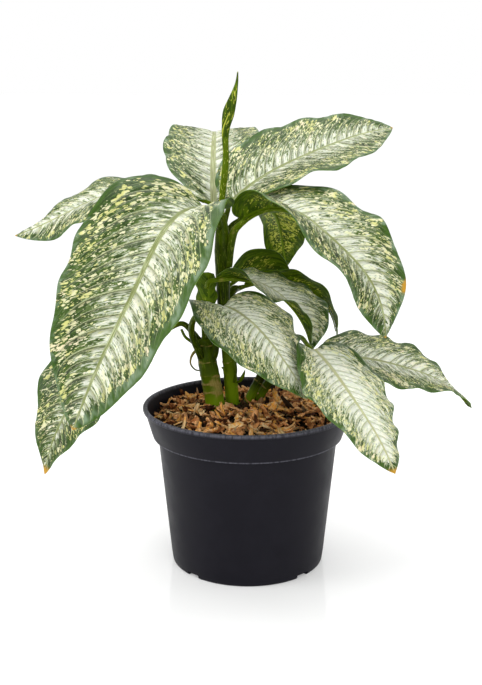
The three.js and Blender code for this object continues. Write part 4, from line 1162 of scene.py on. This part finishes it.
def drawChip(draw, kind, bark):  # one chip's place, size, lie and tone
    bearing = draw.uniform(0, 2 * math.pi)
    distance = (bark["reach"] - 3) * math.sqrt(draw.random())
    x, y = distance * math.cos(bearing), distance * math.sin(bearing)
    length = draw.uniform(*kind["length"])
    width = min(draw.uniform(*kind["width"]), kind["squat"] * length)
    lift = draw.uniform(*kind["lift"])
    clearX, clearY, clearRadius = bark["clearing"]
    if math.hypot(x - clearX, y - clearY) < clearRadius:
        lift = min(lift, -1.5)
    bend, twist = draw.gauss(0, bark["bend"]), draw.gauss(0, bark["twist"])
    cup = draw.uniform(-bark["cup"], bark["cup"])
    lie = Matrix.Rotation(draw.uniform(0, 2 * math.pi), 3, "Z")
    for tilt, axis in zip(bark["tilt"], "YX"):
        lie = lie @ Matrix.Rotation(draw.gauss(0, tilt), 3, axis)
    # Chips towards the front get a lighter tone: painted light on the front row.
    tone = draw.choice(bark["tones"]) + 0.12 * smoothStep(-20, -95, y) + draw.gauss(0, 0.1)
    return {
        "centre": Vector((x, y, barkHeight(x, y, bark) + lift)), "size": (length, width), "lie": lie,
        "bend": bend, "twist": twist, "cup": cup,
        # The tone's second part is painted shade, deeper the lower a chip lies.
        "tone": (min(max(tone, 0), 1), min(max(0, 0.3 - 0.42 * lift), 0.97), 0),
        "flow": Vector([draw.uniform(0, 400) for axis in "XYZ"]),
    }


def chipPoint(chip, u, v, n):  # a ragged strip, narrower at both ends, bent and cupped; makeBark twists it where it lays it
    length, width = chip["size"]
    ragged = 1 + 0.55 * noise.noise(Vector((u * 1.7, v * 0.8, n * 0.61)))
    x = 0.5 * length * u * (1 + 0.25 * noise.noise(Vector((v * 2.1, n * 0.37, 5))))
    y = 0.5 * width * v * (1 - 0.55 * abs(u) ** 2.2) * ragged
    z = chip["bend"] * x * abs(x) * 0.6 + chip["cup"] * y * y + 0.9 * noise.noise(Vector((x, y, n)) * 0.35)
    return Vector((x, y, z))


def makeBark(bark, look):
    draw = random.Random(bark["seed"])
    ground = makeGround(bark, barkFinish(look))
    edge, lowest = bark["edge"], bark["edge"] - bark["depth"] + 2
    bm = bmesh.new()
    flowLayer, toneLayer = vectorLayers(bm, "chipFlow", "chipTone")
    for n, kind in enumerate(kind for kind in bark["kinds"] for k in range(kind["count"])):
        chip = drawChip(draw, kind, bark)
        columns, rows = kind["segments"]
        for vert in bmesh.ops.create_grid(bm, x_segments=columns, y_segments=rows, size=1)["verts"]:
            spot = chipPoint(chip, vert.co.x, vert.co.y, n)
            vert[flowLayer] = chip["flow"] + Vector((spot.x, spot.y, 0))
            vert[toneLayer] = chip["tone"]
            spot = chip["lie"] @ (Matrix.Rotation(chip["twist"] * spot.x, 3, "X") @ spot) + chip["centre"]
            spot.z = max(spot.z, lowest)
            over = math.hypot(spot.x, spot.y) / (bark["reach"] - 1.5 - bark["taper"] * max(0, edge - spot.z))
            if over > 1:
                spot.x, spot.y = spot.x / over, spot.y / over
            vert.co = spot * mm
    chips = placePiece("barkChips", bm, [ground.data.materials[0]])
    thicken(chips, bark["thickness"])
    joinPieces(ground, chips)
    ground.name = "barkBed"
    claimNode(ground, "potting_mix")


makeBark(barkShape, barkLook)
print("bark laid")
